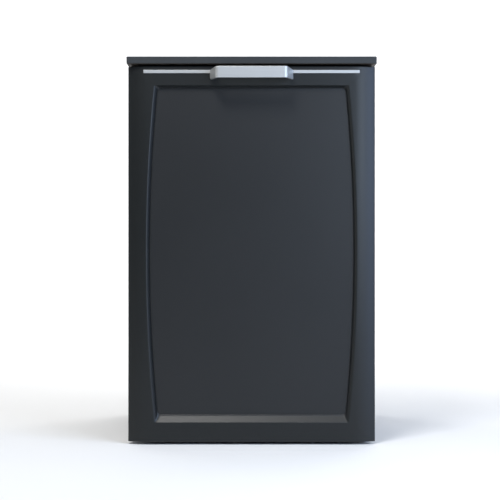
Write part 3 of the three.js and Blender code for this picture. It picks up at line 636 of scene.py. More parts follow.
SIDE_CURVE_WIDTH = 45 * MM
SIDE_CURVE_DROP = 12 * MM
SIDE_CURVE_RADIUS = (SIDE_CURVE_WIDTH ** 2 + SIDE_CURVE_DROP ** 2) / (2 * SIDE_CURVE_DROP)
FRONT_EDGE = 1.6 * MM
RECESS_DEPTH = 9 * MM
RECESS_BOW = 17.9 * MM
RECESS_END_MARGIN = 56.7 * MM
RECESS_TOP_MARGIN = 41.7 * MM
RECESS_BOTTOM_MARGIN = 42.2 * MM
CHAMFER_SIDE = 8 * MM
CHAMFER_TOP = 5 * MM
CHAMFER_BOTTOM = 15 * MM
CHAMFER_SOFTNESS = 0.07  # share of the chamfer that each of its edges rounds over
SIDE_ROLL = math.radians(68)  # how far round the sides have rolled where they meet the panel
# The line round the flat panel: each (share, depth below the panel).
PANEL_GROOVE = ((1.11, 1.1 * MM), (1.2, 1.1 * MM), (1.26, 0))


def front_surface(x):
    """Where the drawer front's face is at x: flat, curving back towards its two sides."""
    reach = max(0.0, abs(x) - (front_high.x - SIDE_CURVE_WIDTH))
    return face_y + SIDE_CURVE_RADIUS - math.sqrt(SIDE_CURVE_RADIUS ** 2 - reach ** 2)


def bowed_outline(half_end, bow, low, high, corner, across=44, upwards=64, round_steps=5):
    """A rectangle with bowed sides and rounded corners, as (x, z) pairs, always as many of them."""
    half_height, middle = (high - low) / 2, (high + low) / 2
    radius = (half_height ** 2 + bow ** 2) / (2 * bow) if bow else 0

    def side(z):
        return half_end + (bow - radius + math.sqrt(radius ** 2 - (z - middle) ** 2) if bow else 0)

    def corner_points(start, tip, end):
        for k in range(1, round_steps):
            yield tuple(bent(*values, k / round_steps) for values in zip(start, tip, end))

    flat = side(low) - corner
    bottom = [(-flat + 2 * flat * k / across, low) for k in range(across + 1)]
    heights = [low + corner + (high - low - 2 * corner) * k / upwards for k in range(upwards + 1)]
    right = [(side(z), z) for z in heights]
    lower = list(corner_points(bottom[-1], (side(low), low), right[0]))
    upper = list(corner_points(right[-1], (side(high), high), (flat, high)))
    top = [(x, high) for x, _ in reversed(bottom)]
    mirror = [(-x, z) for x, z in reversed(lower + right + upper)]
    return bottom + lower + right + upper + top + mirror


def side_roll(share):
    """How far in the recess's sides are, as a share of their width: they roll over and end steep."""
    depth = min(chamfer_depth(min(share, 1 + CHAMFER_SOFTNESS)), 1)
    turn = math.acos(1 - depth * (1 - math.cos(SIDE_ROLL)))
    return math.sin(turn) / math.sin(SIDE_ROLL) + max(0, share - 1 - CHAMFER_SOFTNESS)


def chamfer_outline(share):
    """The recess outline from its mouth (share 0) to its flat panel (share 1)."""
    return bowed_outline(
        front_high.x - RECESS_END_MARGIN - side_roll(share) * CHAMFER_SIDE,
        RECESS_BOW,
        front_low.z + RECESS_BOTTOM_MARGIN + share * CHAMFER_BOTTOM,
        front_high.z - RECESS_TOP_MARGIN - share * CHAMFER_TOP,
        (3 + 5 * max(share, 0)) * MM,
    )


def chamfer_depth(share):
    """How deep the recess is there, as a share of its depth, with both edges of the slope eased."""
    ease = CHAMFER_SOFTNESS
    if share < ease:
        return (share + ease) ** 2 / (4 * ease)
    if share < 1 - ease:
        return share
    return share - (share - 1 + ease) ** 2 / (4 * ease)


def edge_outline(inset):
    """The drawer front's outline, drawn in from its edges."""
    corner = max(FRONT_EDGE - 0.5 * inset, 0.6 * MM)
    return bowed_outline(front_high.x - inset, 0, front_low.z + inset, front_high.z - inset, corner)


def drawer_front():
    """The moulded front: curved sides, a recess with a flat panel, and room for the two strips."""
    shell = Shell()
    rings = [[(x, front_high.y, z) for x, z in edge_outline(0)]]
    for k in range(6):
        turn = math.pi / 2 * k / 5
        inset = FRONT_EDGE * (1 - math.cos(turn))
        drop = FRONT_EDGE * (1 - math.sin(turn))
        rings.append([(x, front_surface(x) + drop, z) for x, z in edge_outline(inset)])
    ease = CHAMFER_SOFTNESS
    outer = edge_outline(FRONT_EDGE)
    mouth = chamfer_outline(-ease)
    frame_steps = 14
    for k in range(1, frame_steps):
        t = k / frame_steps
        between = [(a * (1 - t) + c * t, b * (1 - t) + d * t) for (a, b), (c, d) in zip(outer, mouth)]
        rings.append([(x, front_surface(x), z) for x, z in between])
    shares = [-ease + 2 * ease * k / 6 for k in range(7)]
    shares += [ease + (1 - 2 * ease) * k / 3 for k in range(1, 3)]
    shares += [1 - ease + 2 * ease * k / 6 for k in range(7)]
    for share in shares:
        depth = chamfer_depth(share)
        flatness = min(max(share, 0), 1)
        rings.append([
            (x, front_surface(x) * (1 - flatness) + face_y * flatness + depth * RECESS_DEPTH, z)
            for x, z in chamfer_outline(share)
        ])
    for share, depth in PANEL_GROOVE:
        rings.append([(x, face_y + RECESS_DEPTH + depth, z) for x, z in chamfer_outline(share)])
    shell.loft(rings)
    front = shell.piece("drawer_front_moulding", "drawer", "satin_black_front", ["drawer_front"])
    low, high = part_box("control_strip")
    gap = 0.3 * MM
    pocket = (low.x - gap, low.y - gap, low.z - 14 * MM), (high.x + gap, high.y + gap, high.z + 5 * MM)
    trim_low, trim_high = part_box("trim_strip")
    groove = (
        (trim_low.x - gap, trim_low.y - 4 * MM, trim_low.z - gap),
        (trim_high.x + gap, trim_high.y + gap, trim_high.z + gap),
    )
    carved(front, pocket, groove)


def trim_strip():
    """An aluminium strip let into the drawer front's face."""
    low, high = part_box("trim_strip")
    shell = Shell()
    shell.board(low, high, 1.2 * MM, 0.7 * MM, "XZ")
    shell.piece("trim_strip_extrusion", "drawer", "brushed_aluminium", ["trim_strip"])


HANDLE_METAL = 6 * MM
HANDLE_FACE = 155 * MM
HANDLE_FOOT_HEIGHT = 21 * MM
HANDLE_FOOT_DROP = 0.8 * MM
HANDLE_CHAMFER = 1.3 * MM
HANDLE_BEND = 4.5 * MM


def drawer_handle():
    """A flat bar bent forward on two slanted legs, which narrow a little towards the door."""
    low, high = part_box("handle")
    slope = (high.x - HANDLE_FACE / 2) / (high.y - low.y)
    half = HANDLE_METAL / 2
    stretch = math.hypot(1, slope)
    corner = Vector((HANDLE_FACE / 2 - half * (stretch - slope), low.y + half, 0))
    foot = Vector((high.x - half * stretch, high.y, 0))
    away = (foot - corner).normalized()
    bend = [corner - X * HANDLE_BEND, corner, corner + away * HANDLE_BEND]
    right = [bent(*bend, k / 8) for k in range(9)]
    right += [bend[2].lerp(foot, k / 6) for k in range(1, 7)]
    bar = [Vector((-bend[0].x + 2 * bend[0].x * k / 12, bend[0].y, 0)) for k in range(1, 12)]
    path = [Vector((-p.x, p.y, 0)) for p in reversed(right)] + bar + right
    full = high.z - low.z
    middle = (high.z + low.z) / 2
    shell = Shell()
    rings = []
    for i, point in enumerate(path):
        along = (path[min(i + 1, len(path) - 1)] - path[max(i - 1, 0)]).normalized()
        out = Vector((along.y, -along.x, 0))
        back = (point.y - bend[2].y) / (foot.y - bend[2].y)
        share = min(max(back, 0), 1)
        tall = full + (HANDLE_FOOT_HEIGHT - full) * share
        centre = point + Z * (middle - HANDLE_FOOT_DROP * share)
        section = rectangle(-half, half, -tall / 2, tall / 2, HANDLE_CHAMFER, 2)
        rings.append([centre + out * u + Z * v for u, v in section])
    shell.loft(rings)
    shell.piece("handle_bar", "drawer", "brushed_aluminium", ["handle"], sharp=24)


# ---- Controls on the drawer front's top edge ----


def control_strip():
    """A plate let into the drawer front, with a collar round each control."""
    low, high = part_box("control_strip")
    shell = Shell()
    shell.board(low, high, 2 * MM, 0.4 * MM)
    strip = shell.piece("control_strip_panel", "drawer", "black_plastic", ["control_strip"])
    cutters = []
    collars = Shell()
    for node, radius in (("start_button", 5.3 * MM), ("stop_button", 5.3 * MM), ("key_knob", 6.4 * MM)):
        centre = node_centre(node)
        reach = Vector((radius, radius, 0))
        cutters.append((centre - reach + Z * (low.z - MM), centre + reach + Z * (high.z + MM)))
        outer, top = radius * 1.45, high.z + 0.35 * MM
        collar = [
            (radius, low.z), (outer, low.z), (outer, high.z), (outer - 0.6 * MM, top), (radius, top),
            (radius, low.z),
        ]
        collars.turned(collar, centre, Z, 32)
    carved(strip, *cutters)
    collars.piece("control_collars", "drawer", "grey_plastic")


def push_button(node, mark):
    """A round button with a softened edge and a sunk mark: a triangle to start, a square to stop."""
    low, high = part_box(node)
    middle = node_centre(node)
    flange, cap = high.x - middle.x, 5 * MM
    under_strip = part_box("control_strip")[0].z - 0.3 * MM
    shell = Shell()
    shell.turned(
        [(0, low.z), (flange, low.z), (flange, under_strip), (cap, under_strip),
         (cap, high.z - 0.9 * MM), (cap - 0.3 * MM, high.z - 0.3 * MM), (cap - 0.9 * MM, high.z),
         (cap - 1.6 * MM, high.z - 0.15 * MM), (0, high.z - 0.25 * MM)],
        middle, Z, 36,
    )
    shell.piece(node + "_cap", node, "grey_plastic", [node])
    corners = 3 if mark == "start" else 4
    turn = 0 if mark == "start" else math.pi / 4
    symbol = Shell()
    outline = [(point.x, point.y) for point in round_about(middle, 2 * MM, corners, turn, 0)]
    symbol.prism(outline, high.z - 0.6 * MM, high.z - 0.02 * MM, in_xyz)
    colours = {
        "start": ((0.02, 0.30, 0.08), (0.03, 0.38, 0.11)),
        "stop": ((0.42, 0.02, 0.02), (0.52, 0.035, 0.03)),
    }
    symbol.piece(node + "_mark", node, "grey_plastic", finish=enamel(mark + "_enamel", *colours[mark]))


def key_knob():
    """A round knob with a bar to turn it by."""
    low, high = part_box("key_knob")
    middle = node_centre("key_knob")
    strip_low, strip_high = (corner.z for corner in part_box("control_strip"))
    flange, stem, soft = high.x - middle.x, 6 * MM, 0.5 * MM
    under_strip, top = strip_low - 0.3 * MM, strip_high + 0.8 * MM
    shell = Shell()
    shell.turned(
        [(0, low.z), (flange, low.z), (flange, under_strip), (stem, under_strip),
         (stem, top - soft), (stem - soft, top), (0, top)],
        middle, Z, 36,
    )
    grip_low = Vector((middle.x - 1.5 * MM, low.y + 2.2 * MM, strip_high))
    grip_high = Vector((middle.x + 1.5 * MM, high.y - 2.2 * MM, high.z))
    shell.cuboid(grip_low, grip_high, 0.5 * MM)
    shell.piece("key_knob_grip", "key_knob", "grey_plastic", ["key_knob"])


# ---- Cabinet outside ----


def worktop():
    """The board on top, its rims eased."""
    low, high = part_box("worktop")
    shell = Shell()
    shell.board(low, high, 4 * MM, 1.6 * MM, corner_steps=5, edge_steps=5)
    shell.piece("worktop_board", "cabinet", "laminate_top", ["worktop"])


SHEET = 1.5 * MM
PANEL_SCREW = 3.6 * MM  # head radius


def side_panel(side, sign):
    """A folded sheet with a flange turned in at its front and rear."""
    low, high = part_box("side_panel_" + side)
    half = SHEET / 2
    outer = max(abs(low.x), abs(high.x)) - half
    front_lip = outer + half - 25 * MM
    rear_lip = outer + half - 20 * MM
    front, rear = low.y + half, high.y - half
    corners = [(front_lip, front), (outer, front), (outer, rear), (rear_lip, rear)]
    outline = [(sign * x, y) for x, y in folded(corners, SHEET, 2 * MM)]
    shell = Shell()
    shell.prism(outline, low.z, high.z, in_xyz)
    shell.piece("side_panel_" + side + "_sheet", "cabinet", "black_painted_steel", ["side_panel_" + side])


def back_fasteners():
    """Screws down both edges of the back panel, along its top, and round the service cover."""
    low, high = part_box("back_panel")
    inset = 9 * MM
    xs = (low.x + inset, high.x - inset)
    zs = [low.z + 20 * MM + (high.z - low.z - 40 * MM) * k / 4 for k in range(5)]
    places = [(x, high.y, z) for x in xs for z in zs]
    places += [(x * (high.x - 90 * MM), high.y, high.z - 9 * MM) for x in (-1, 0, 1)]
    fasteners("back_panel_screws", "cabinet", "machined_steel", places, Y, PANEL_SCREW)
    low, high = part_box("rear_service_cover")
    places = [
        (x, high.y, z)
        for x in (low.x + 7 * MM, 0, high.x - 7 * MM)
        for z in (low.z + 7 * MM, high.z - 7 * MM)
    ]
    fasteners("service_cover_screws", "cabinet", "machined_steel", places, Y, PANEL_SCREW)


def service_cover_louvres():
    """Pressed hoods over the service cover's slots, and over the back panel's vents."""
    shell = Shell()
    low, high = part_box("rear_service_cover")
    for side in (-1, 1):
        for row in range(5):
            z = low.z + (50 + row * 24) * MM
            hood(shell, side * 100 * MM, 60 * MM, high.y - 0.2 * MM, z)
    shell.piece("service_cover_louvres", "cabinet", "galvanised_steel")
    shell = Shell()
    low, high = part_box("back_panel")
    for column in (-1.5, -0.5, 0.5, 1.5):
        for row in range(3):
            z = high.z - (70 + row * 18) * MM
            hood(shell, column * 120 * MM, 48 * MM, high.y - 0.2 * MM, z)
    shell.piece("back_panel_louvres", "cabinet", "black_painted_steel")


def hood(shell, x, half, y, z):
    """One louvre: a sheet lip that leans out over a slot, open below."""
    out, rise = 3.2 * MM, 9 * MM
    rings = []
    for k in range(13):
        t = -1 + 2 * k / 12
        swell = math.sqrt(max(0.0, 1 - t ** 6))
        outer = [(0, rise), (0.55 * out * swell, rise - 1.6 * MM), (out * swell + 0.1 * MM, 1.2 * MM)]
        inner = [(a - 0.5 * MM * (i > 0), b - 0.9 * MM * (i < 2)) for i, (a, b) in enumerate(outer)]
        section = outer + inner[::-1]
        rings.append([(x + half * t, y + a, z + b) for a, b in section])
    shell.loft(rings)


def cord_gland():
    """A bush in the service cover with a flange outside and a bore for the cord."""
    low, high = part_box("cord_gland")
    middle = (low + high) / 2
    base = Vector((middle.x, low.y, middle.z))
    deep = high.y - low.y
    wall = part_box("rear_service_cover")[0].y - low.y
    flange = high.x - middle.x
    bore = 4.5 * MM
    shell = Shell()
    shell.turned(
        [(bore, 0), (11 * MM, 0), (11 * MM, wall), (flange, wall), (flange, wall + 2.4 * MM),
         (flange - 1 * MM, wall + 3.4 * MM), (10 * MM, wall + 4 * MM), (7 * MM, deep - 0.4 * MM),
         (6.2 * MM, deep), (bore + 0.6 * MM, deep), (bore, deep - 0.8 * MM), (bore, 0)],
        base, Y, 40,
    )
    shell.piece("cord_gland_bush", "cabinet", "black_plastic", ["cord_gland"])


def levelling_foot(place):
    """A ribbed pad on a hexagon collar, and a threaded stud."""
    node = "levelling_foot_" + place
    low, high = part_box(node)
    base = node_centre(node) + Z * low.z
    pad = high.x - base.x
    shell = Shell()
    shell.turned(
        [(0, 0), (pad - 2 * MM, 0), (pad - 0.5 * MM, 0.5 * MM), (pad, 2 * MM), (pad, 4.2 * MM),
         (pad - 1.2 * MM, 5.4 * MM), (11.5 * MM, 7.6 * MM), (10.5 * MM, 8 * MM), (0, 8 * MM)],
        base, Z, 40,
    )
    shell.piece(node + "_pad", node, "black_rubber", [node])
    stud = Shell()
    stud.turned(in_mm((0, 7), (9.4, 7), (9.8, 8), (9.8, 13), (8.8, 14), (0, 14)), base, Z, 6)
    thread(stud, base, 14 * MM, high.z - low.z, 5 * MM, 0.5 * MM, 1.5 * MM, 20)
    stud.piece(node + "_stud", node, "machined_steel", sharp=50)


def thread(shell, base, start, end, radius, depth, pitch, segments, flat=0.0):
    """A threaded bar: the surface's radius follows the helix, with the crest's share flat."""
    rows = int((end - start) / pitch * 8)
    rings = []
    for row in range(rows + 1):
        height = start + (end - start) * row / rows
        ring = []
        for k in range(segments):
            angle = 2 * math.pi * k / segments
            phase = (height / pitch - angle / (2 * math.pi)) % 1
            wave = abs(2 * phase - 1)
            cut = min(max((wave - flat) / (1 - 2 * flat), 0), 1) if flat else wave
            r = radius - depth * cut
            ring.append(base + Vector((r * math.cos(angle), r * math.sin(angle), height)))
        rings.append(ring)
    shell.loft(rings)


# ---- Pieces left as packed, with eased edges ----


def softened(node, width=0.45 * MM, sharpest=28):
    """A sheet or block as packed, each of its sharp edges eased."""
    carried = frame["nodes"][node]
    shell = Shell()
    mesh = shell.mesh
    mesh.from_mesh(carried.data)
    bmesh.ops.remove_doubles(mesh, verts=mesh.verts, dist=1e-6)
    bmesh.ops.dissolve_limit(mesh, angle_limit=math.radians(1), verts=mesh.verts, edges=mesh.edges)
    keen = math.radians(sharpest)
    edges = [e for e in mesh.edges if len(e.link_faces) == 2 and e.calc_face_angle() > keen]
    bmesh.ops.bevel(
        mesh, geom=edges, offset=width, segments=2, profile=0.5, affect="EDGES", clamp_overlap=True
    )
    slot = next(part["material_slot"] for part in frame["record"]["subparts"] if part["node"] == node)
    return shell.piece(node + "_eased", body_with(node), slot, [node])


# ---- Drawer inside ----


def waste_bin():
    """A moulded bin with rounded corners, a turned-out rim and ribs down its sides."""
    low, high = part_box("waste_bin")
    rim, wall, floor, corner = 6 * MM, 4 * MM, 5 * MM, 28 * MM
    round_out, round_in = 9 * MM, 7 * MM
    quarter = [math.pi / 2 * k / 5 for k in range(6)]
    levels = [(round_out * (1 - math.sin(t)), low.z + round_out * (1 - math.cos(t))) for t in quarter]
    top = high.z
    levels += [(0, low.z + 40 * MM), (0, top - 12 * MM), (0, top - 6 * MM)]
    levels += [(-4.4 * MM, top - 6 * MM), (-rim, top - 4.6 * MM), (-rim, top - 1.8 * MM)]
    levels += [(-4.4 * MM, top - 0.3 * MM), (-3 * MM, top)]
    levels += [(2.6 * MM, top), (3.7 * MM, top - 0.5 * MM), (wall, top - 1.6 * MM)]
    levels += [
        (wall + round_in * (1 - math.cos(t)), low.z + floor + round_in * (1 - math.sin(t)))
        for t in quarter
    ]
    shell = Shell()
    rings = []
    for inset, z in levels:
        edge = inset + rim
        radius = max(corner - inset, 6 * MM)
        outline = rectangle(low.x + edge, high.x - edge, low.y + edge, high.y - edge, radius, 8)
        rings.append([(x, y, z) for x, y in outline])
    shell.loft(rings)
    for sign in (-1, 1):
        for k in range(7):
            y = low.y + (high.y - low.y) * (0.2 + 0.1 * k)
            x = (high.x - rim) * sign
            inner, outer = sorted((x - sign * MM, x + sign * 0.9 * MM))
            rib_low = (inner, y - 1.4 * MM, low.z + 70 * MM)
            shell.cuboid(rib_low, (outer, y + 1.4 * MM, top - 12 * MM), 0.6 * MM)
    shell.piece("waste_bin_moulding", "drawer", "bin_plastic", ["waste_bin"])


def drawer_carrier():
    """A folded tray with an upright plate bolted behind the drawer front."""
    low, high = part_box("drawer_carrier")
    half = SHEET / 2
    wall_top = low.z + 62 * MM
    outer = high.x - half
    corners = [(-outer, wall_top), (-outer, low.z + half), (outer, low.z + half), (outer, wall_top)]
    outline = folded(corners, SHEET, 2 * MM)
    shell = Shell()
    shell.prism(outline, low.y + SHEET, high.y, in_xzy)
    shell.board(low, (high.x, low.y + SHEET, high.z), 8 * MM, 0.4 * MM, "XZ", corner_steps=5)
    shell.piece("drawer_carrier_tray", "drawer", "galvanised_steel", ["drawer_carrier"])
    places = [(x * MM, low.y + SHEET, high.z - d * MM) for x in (-160, -55, 55, 160) for d in (18, 150)]
    fasteners("drawer_carrier_bolts", "drawer", "machined_steel", places, Y, 7 * MM, hex_bolt)


def inner_pan_details():
    """Screws round the drawer front's inner pan, and the rubber bumpers that meet the cabinet."""
    low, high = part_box("front_inner_pan")
    xs = (low.x + 12 * MM, high.x - 12 * MM)
    zs = [low.z + (high.z - low.z) * share for share in (0.04, 0.27, 0.5, 0.73, 0.96)]
    places = [(x, high.y, z) for x in xs for z in zs]
    places += [(x * 120 * MM, high.y, z) for x in (-1, 1) for z in (low.z + 12 * MM, high.z - 12 * MM)]
    fasteners("inner_pan_screws", "drawer", "machined_steel", places, Y, 3.8 * MM)
    shell = Shell()
    for x in xs:
        for share in (0.12, 0.88):
            base = Vector((x, high.y, low.z + (high.z - low.z) * share))
            shell.turned(in_mm((0, 0), (7, 0), (7, 1.2), (5.6, 2.8), (0, 3.4)), base, Y, 24)
    shell.piece("drawer_bumpers", "drawer", "black_rubber")


SLIDE_LIP = 1.5 * MM


def slide_member(node, sign):
    """A rolled channel: the rail and the middle member have their web outside, the inner one inside."""
    low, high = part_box(node)
    web_outside = "inner" not in node
    half = SLIDE_LIP / 2
    far, near = max(abs(low.x), abs(high.x)), min(abs(low.x), abs(high.x))
    web = far - half if web_outside else near + half
    lip = near if web_outside else far
    corners = [(lip, low.z + half), (web, low.z + half), (web, high.z - half), (lip, high.z - half)]
    outline = [(sign * x, z) for x, z in folded(corners, SLIDE_LIP, 1.8 * MM)]
    shell = Shell()
    shell.prism(outline, low.y, high.y, in_xzy)
    shell.piece(node + "_channel", body_with(node), "galvanised_steel", [node])


def slide_balls(side, sign):
    """Two races of balls, held by strips, that travel with the middle member."""
    rail, middle, inner = (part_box("slide_%s_%s" % (kind, side)) for kind in ("rail", "middle", "inner"))
    centre = (rail[0].z + rail[1].z) / 2
    races = (
        (rail[1].z - SLIDE_LIP, middle[1].z, rail, middle),
        (middle[1].z - SLIDE_LIP, inner[1].z, middle, inner),
    )
    balls, strips = Shell(), Shell()
    for upper, lower, outside, inside in races:
        spans = [sorted(abs(corner.x) for corner in box) for box in (outside, inside)]
        x = sign * (max(spans[0][0], spans[1][0]) + min(spans[0][1], spans[1][1])) / 2
        radius = (upper - lower) / 2 - 0.05 * MM
        for flip in (-1, 1):
            z = centre + flip * ((upper + lower) / 2 - centre)
            turns = [math.pi * k / 8 for k in range(9)]
            ball = [(radius * math.sin(t), -radius * math.cos(t)) for t in turns]
            for k in range(12):
                y = middle[0].y + (30 + 14 * k) * MM
                balls.turned(ball, Vector((x, y, z)), Z, 12)
            strip_low = (x - 1.6 * MM, middle[0].y + 22 * MM, z - 0.4 * MM)
            strip_high = (x + 1.6 * MM, middle[0].y + 192 * MM, z + 0.4 * MM)
            strips.cuboid(strip_low, strip_high, 0.2 * MM)
    body = "slide_middle_" + side
    balls.piece("slide_balls_" + side, body, "machined_steel")
    strips.piece("slide_ball_cages_" + side, body, "galvanised_steel")


# ---- Ram ----


def ram_plate():
    """A thick plate with a welded foot on each side of its two columns, bolted down."""
    low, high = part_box("ram_plate")
    shell = Shell()
    shell.board(low, high, 18 * MM, 2.4 * MM, corner_steps=8, edge_steps=4)
    foot_width, gap = 14 * MM, 0.3 * MM
    foot_top = high.z + 6 * MM
    places = []
    for side, _ in SIDES:
        a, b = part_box("ram_column_" + side)
        for start, end in ((a.x - foot_width, a.x - gap), (b.x + gap, b.x + foot_width)):
            shell.cuboid((start, a.y - foot_width, high.z), (end, b.y + foot_width, foot_top), 0.8 * MM)
        for x in (a.x - foot_width / 2, b.x + foot_width / 2):
            places += [(x, y, foot_top) for y in (a.y, (a.y + b.y) / 2, b.y)]
    shell.piece("ram_plate_casting", "ram", "black_painted_steel", ["ram_plate"])
    fasteners("ram_plate_bolts", "ram", "machined_steel", places, Z, 8 * MM, hex_bolt)


def ram_column(side):
    """A square tube with rounded corners."""
    (x0, y0, z0), (x1, y1, z1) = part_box("ram_column_" + side)
    wall, corner = 4 * MM, 7 * MM
    rings = []
    for inset, z in ((0, z0), (0, z1), (wall, z1), (wall, z0)):
        outline = rectangle(x0 + inset, x1 - inset, y0 + inset, y1 - inset, corner - inset, 6)
        rings.append([(x, y, z) for x, y in outline])
    shell = Shell()
    shell.loft(rings, closed=True)
    shell.piece("ram_column_%s_tube" % side, "ram", "black_painted_steel", ["ram_column_" + side])


def ram_nut(side):
    """A turned nut that hangs through the crossbeam by its flange."""
    low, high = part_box("ram_nut_" + side)
    centre = node_centre("ram_nut_" + side)
    tall = high.z - low.z
    flange, body, bore = high.x - centre.x, 15 * MM, 10.3 * MM
    under, soft = tall - 4 * MM, 0.8 * MM
    shell = Shell()
    shell.turned(
        [(bore + soft, 0), (body - soft, 0), (body, soft), (body, under), (flange - 0.4 * MM, under),
         (flange, under + 0.4 * MM), (flange, tall - 0.5 * MM), (flange - 0.5 * MM, tall),
         (bore + soft, tall), (bore, tall - soft), (bore, soft), (bore + soft, 0)],
        centre + Z * low.z, Z, 48,
    )
    shell.piece("ram_nut_%s_turned" % side, "ram", "bronze", ["ram_nut_" + side])
    places = round_about(centre, 18 * MM, 4, math.pi / 4, high.z)
    fasteners("ram_nut_%s_screws" % side, "ram", "machined_steel", places, Z, 2.6 * MM)


def power_screw(side):
    """A trapezoidal thread between two plain journals."""
    node = "power_screw_" + side
    low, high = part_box(node)
    centre = node_centre(node)
    radius, foot, head = 10 * MM, 8 * MM, 7 * MM
    shoulder = low.z + 29 * MM
    start, end = shoulder + 3 * MM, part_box("upper_bearing_" + side)[0].z - 1 * MM
    shell = Shell()
    shell.turned(
        [(0, low.z), (foot - 0.8 * MM, low.z), (foot, low.z + 0.8 * MM), (foot, shoulder),
         (radius, shoulder), (radius, start), (0, start)],
        centre, Z, 32,
    )
    shell.turned(
        [(0, end), (head, end), (head, high.z - 0.8 * MM), (head - 0.8 * MM, high.z), (0, high.z)],
        centre, Z, 32,
    )
    thread(shell, centre, start, end, radius, 2.6 * MM, 8 * MM, 24, flat=0.2)
    shell.piece(node + "_thread", "screw_" + side, "machined_steel", [node], sharp=38)


# ---- Drive ----

PITCH = 9.525 * MM
ROLLER = 6.35 * MM
SCREW_TEETH = 16
DRIVE_TEETH = 10
BORE = 8.3 * MM  # of what sits on the jackshaft or on a screw's foot


def pitch_radius(teeth):
    """From a sprocket's centre to the rollers' centres."""
    return PITCH / 2 / math.sin(math.pi / teeth)


def taut_loop(wheels):
    """The lines and arcs of a belt round wheels listed anticlockwise, each (centre, radius).

    Gives for each wheel its centre, its radius, the angle where the belt meets it, how far round the belt
    stays on it, and the length run before it; then the whole length.
    """
    leaving = []
    for i, (centre, radius) in enumerate(wheels):
        following, next_radius = wheels[(i + 1) % len(wheels)]
        way = following - centre
        leaving.append(math.atan2(way.y, way.x) - math.acos((radius - next_radius) / way.length))
    arcs = []
    run = 0
    for i, (centre, radius) in enumerate(wheels):
        turn = (leaving[i] - leaving[i - 1]) % (2 * math.pi)
        arcs.append((centre, radius, leaving[i - 1], turn, run))
        following, next_radius = wheels[(i + 1) % len(wheels)]
        straight = math.sqrt((following - centre).length_squared - (radius - next_radius) ** 2)
        run += radius * turn + straight
    return arcs, run


def loop_point(arcs, length, run):
    """The point at a length along the loop, on an arc or on the line after it."""
    run %= length
    for i, (centre, radius, start, turn, before) in enumerate(arcs):
        after = arcs[i + 1][4] if i + 1 < len(arcs) else length
        if run > after:
            continue
        angle = start + min((run - before) / radius, turn)
        point = centre + radius * Vector((math.cos(angle), math.sin(angle), 0))
        beyond = run - before - radius * turn
        if beyond > 0:
            point += beyond * Vector((-math.sin(angle), math.cos(angle), 0))
        return point


def drive_chain():
    """Roller chain round the three sprockets. Gives for each the angle at which a roller sits in it."""
    wheels = [
        (node_centre("power_screw_left"), pitch_radius(SCREW_TEETH)),
        (node_centre("power_screw_right"), pitch_radius(SCREW_TEETH)),
        (node_centre("jackshaft"), pitch_radius(DRIVE_TEETH)),
    ]
    arcs, length = taut_loop(wheels)
    count = 2 * round(length / PITCH / 2)
    step = length / count
    low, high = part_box("drive_chain")
    pins = [loop_point(arcs, length, i * step) for i in range(count)]
    rollers, plates = Shell(), Shell()
    pin, roller = 1.5 * MM, ROLLER / 2
    foot, head = low.z + 1.5 * MM, high.z - 1.5 * MM
    for point in pins:
        rollers.turned(
            [(0, low.z), (pin, low.z), (pin, foot), (roller, foot), (roller, head), (pin, head),
             (pin, high.z), (0, high.z)],
            point, Z, 12,
        )
    plate_end, waist = 3.9 * MM, 0.72
    inner_plate, outer_plate = (1.3 * MM, 2.2 * MM), (0.35 * MM, 1.25 * MM)
    for i, point in enumerate(pins):
        following = pins[(i + 1) % count]
        along = (following - point).normalized()
        across = Z.cross(along)
        outline = []
        for end, turn in ((following, -math.pi / 2), (point, math.pi / 2)):
            for k in range(7):
                t = turn + math.pi * k / 6
                outline.append(end + plate_end * (math.cos(t) * along + math.sin(t) * across))
        middle = (point + following) / 2
        for spot in (7, 15):
            side = outline[spot - 1 if spot == 7 else 0] - middle
            outline.insert(spot, middle + side.project(across) * waist)
        near, far = outer_plate if i % 2 else inner_plate
        for levels in ((low.z + near, low.z + far), (high.z - far, high.z - near)):
            plates.loft([[point + Z * z for point in outline] for z in levels])
    rollers.piece("drive_chain_rollers", "cabinet", "machined_steel")
    plates.piece("drive_chain_plates", "cabinet", "machined_steel", ["drive_chain"], sharp=25)
    phases = []
    for _, radius, start, turn, before in arcs:
        first = math.ceil(before / step)
        middle = round((before + radius * turn / 2) / step)
        phases.append(start + (max(first, middle) * step - before) / radius)
    return phases


def sprocket(node, teeth, phase):
    """A toothed wheel on a hub, with a valley at the phase angle."""
    low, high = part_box(node)
    centre = node_centre(node)
    pitch = pitch_radius(teeth)
    tip = PITCH / 2 * (0.6 + 1 / math.tan(math.pi / teeth))
    seat = ROLLER / 2 + 0.1 * MM
    steps = 12
    half_turn = math.pi / teeth
    outline = []
    for tooth in range(teeth):
        for k in range(steps):
            offset = half_turn * (2 * k / steps - 1)
            aside = pitch * math.sin(offset)
            if abs(aside) < 0.93 * seat:
                radius = pitch * math.cos(offset) - math.sqrt(seat ** 2 - aside ** 2)
            else:
                radius = tip - 1.1 * MM * (1 - (abs(offset) / half_turn)) * 2
            outline.append((radius, phase + tooth * 2 * half_turn + offset))
    wheel_low, wheel_high = low.z + 2 * MM, high.z - 2 * MM
    soft = 0.9 * MM
    shell = Shell()
    rings = []
    low_rim, high_rim = wheel_low + soft, wheel_high - soft
    for shrink, z in ((soft, wheel_low), (0, low_rim), (0, high_rim), (soft, wheel_high)):
        rings.append([
            centre + Vector(((r - shrink) * math.cos(a), (r - shrink) * math.sin(a), z))
            for r, a in outline
        ])
    for z in (wheel_high, wheel_low):
        rings.append([centre + Vector((BORE * math.cos(a), BORE * math.sin(a), z)) for _, a in outline])
    shell.loft(rings, closed=True)
    hub = pitch - ROLLER / 2 - 3 * MM
    for foot, head in ((low.z, wheel_low), (wheel_high, high.z)):
        shell.turned([(BORE, foot), (hub, foot), (hub, head), (BORE, head), (BORE, foot)], centre, Z, 32)
    shell.piece(node + "_toothed", body_with(node), "cast_iron", [node])


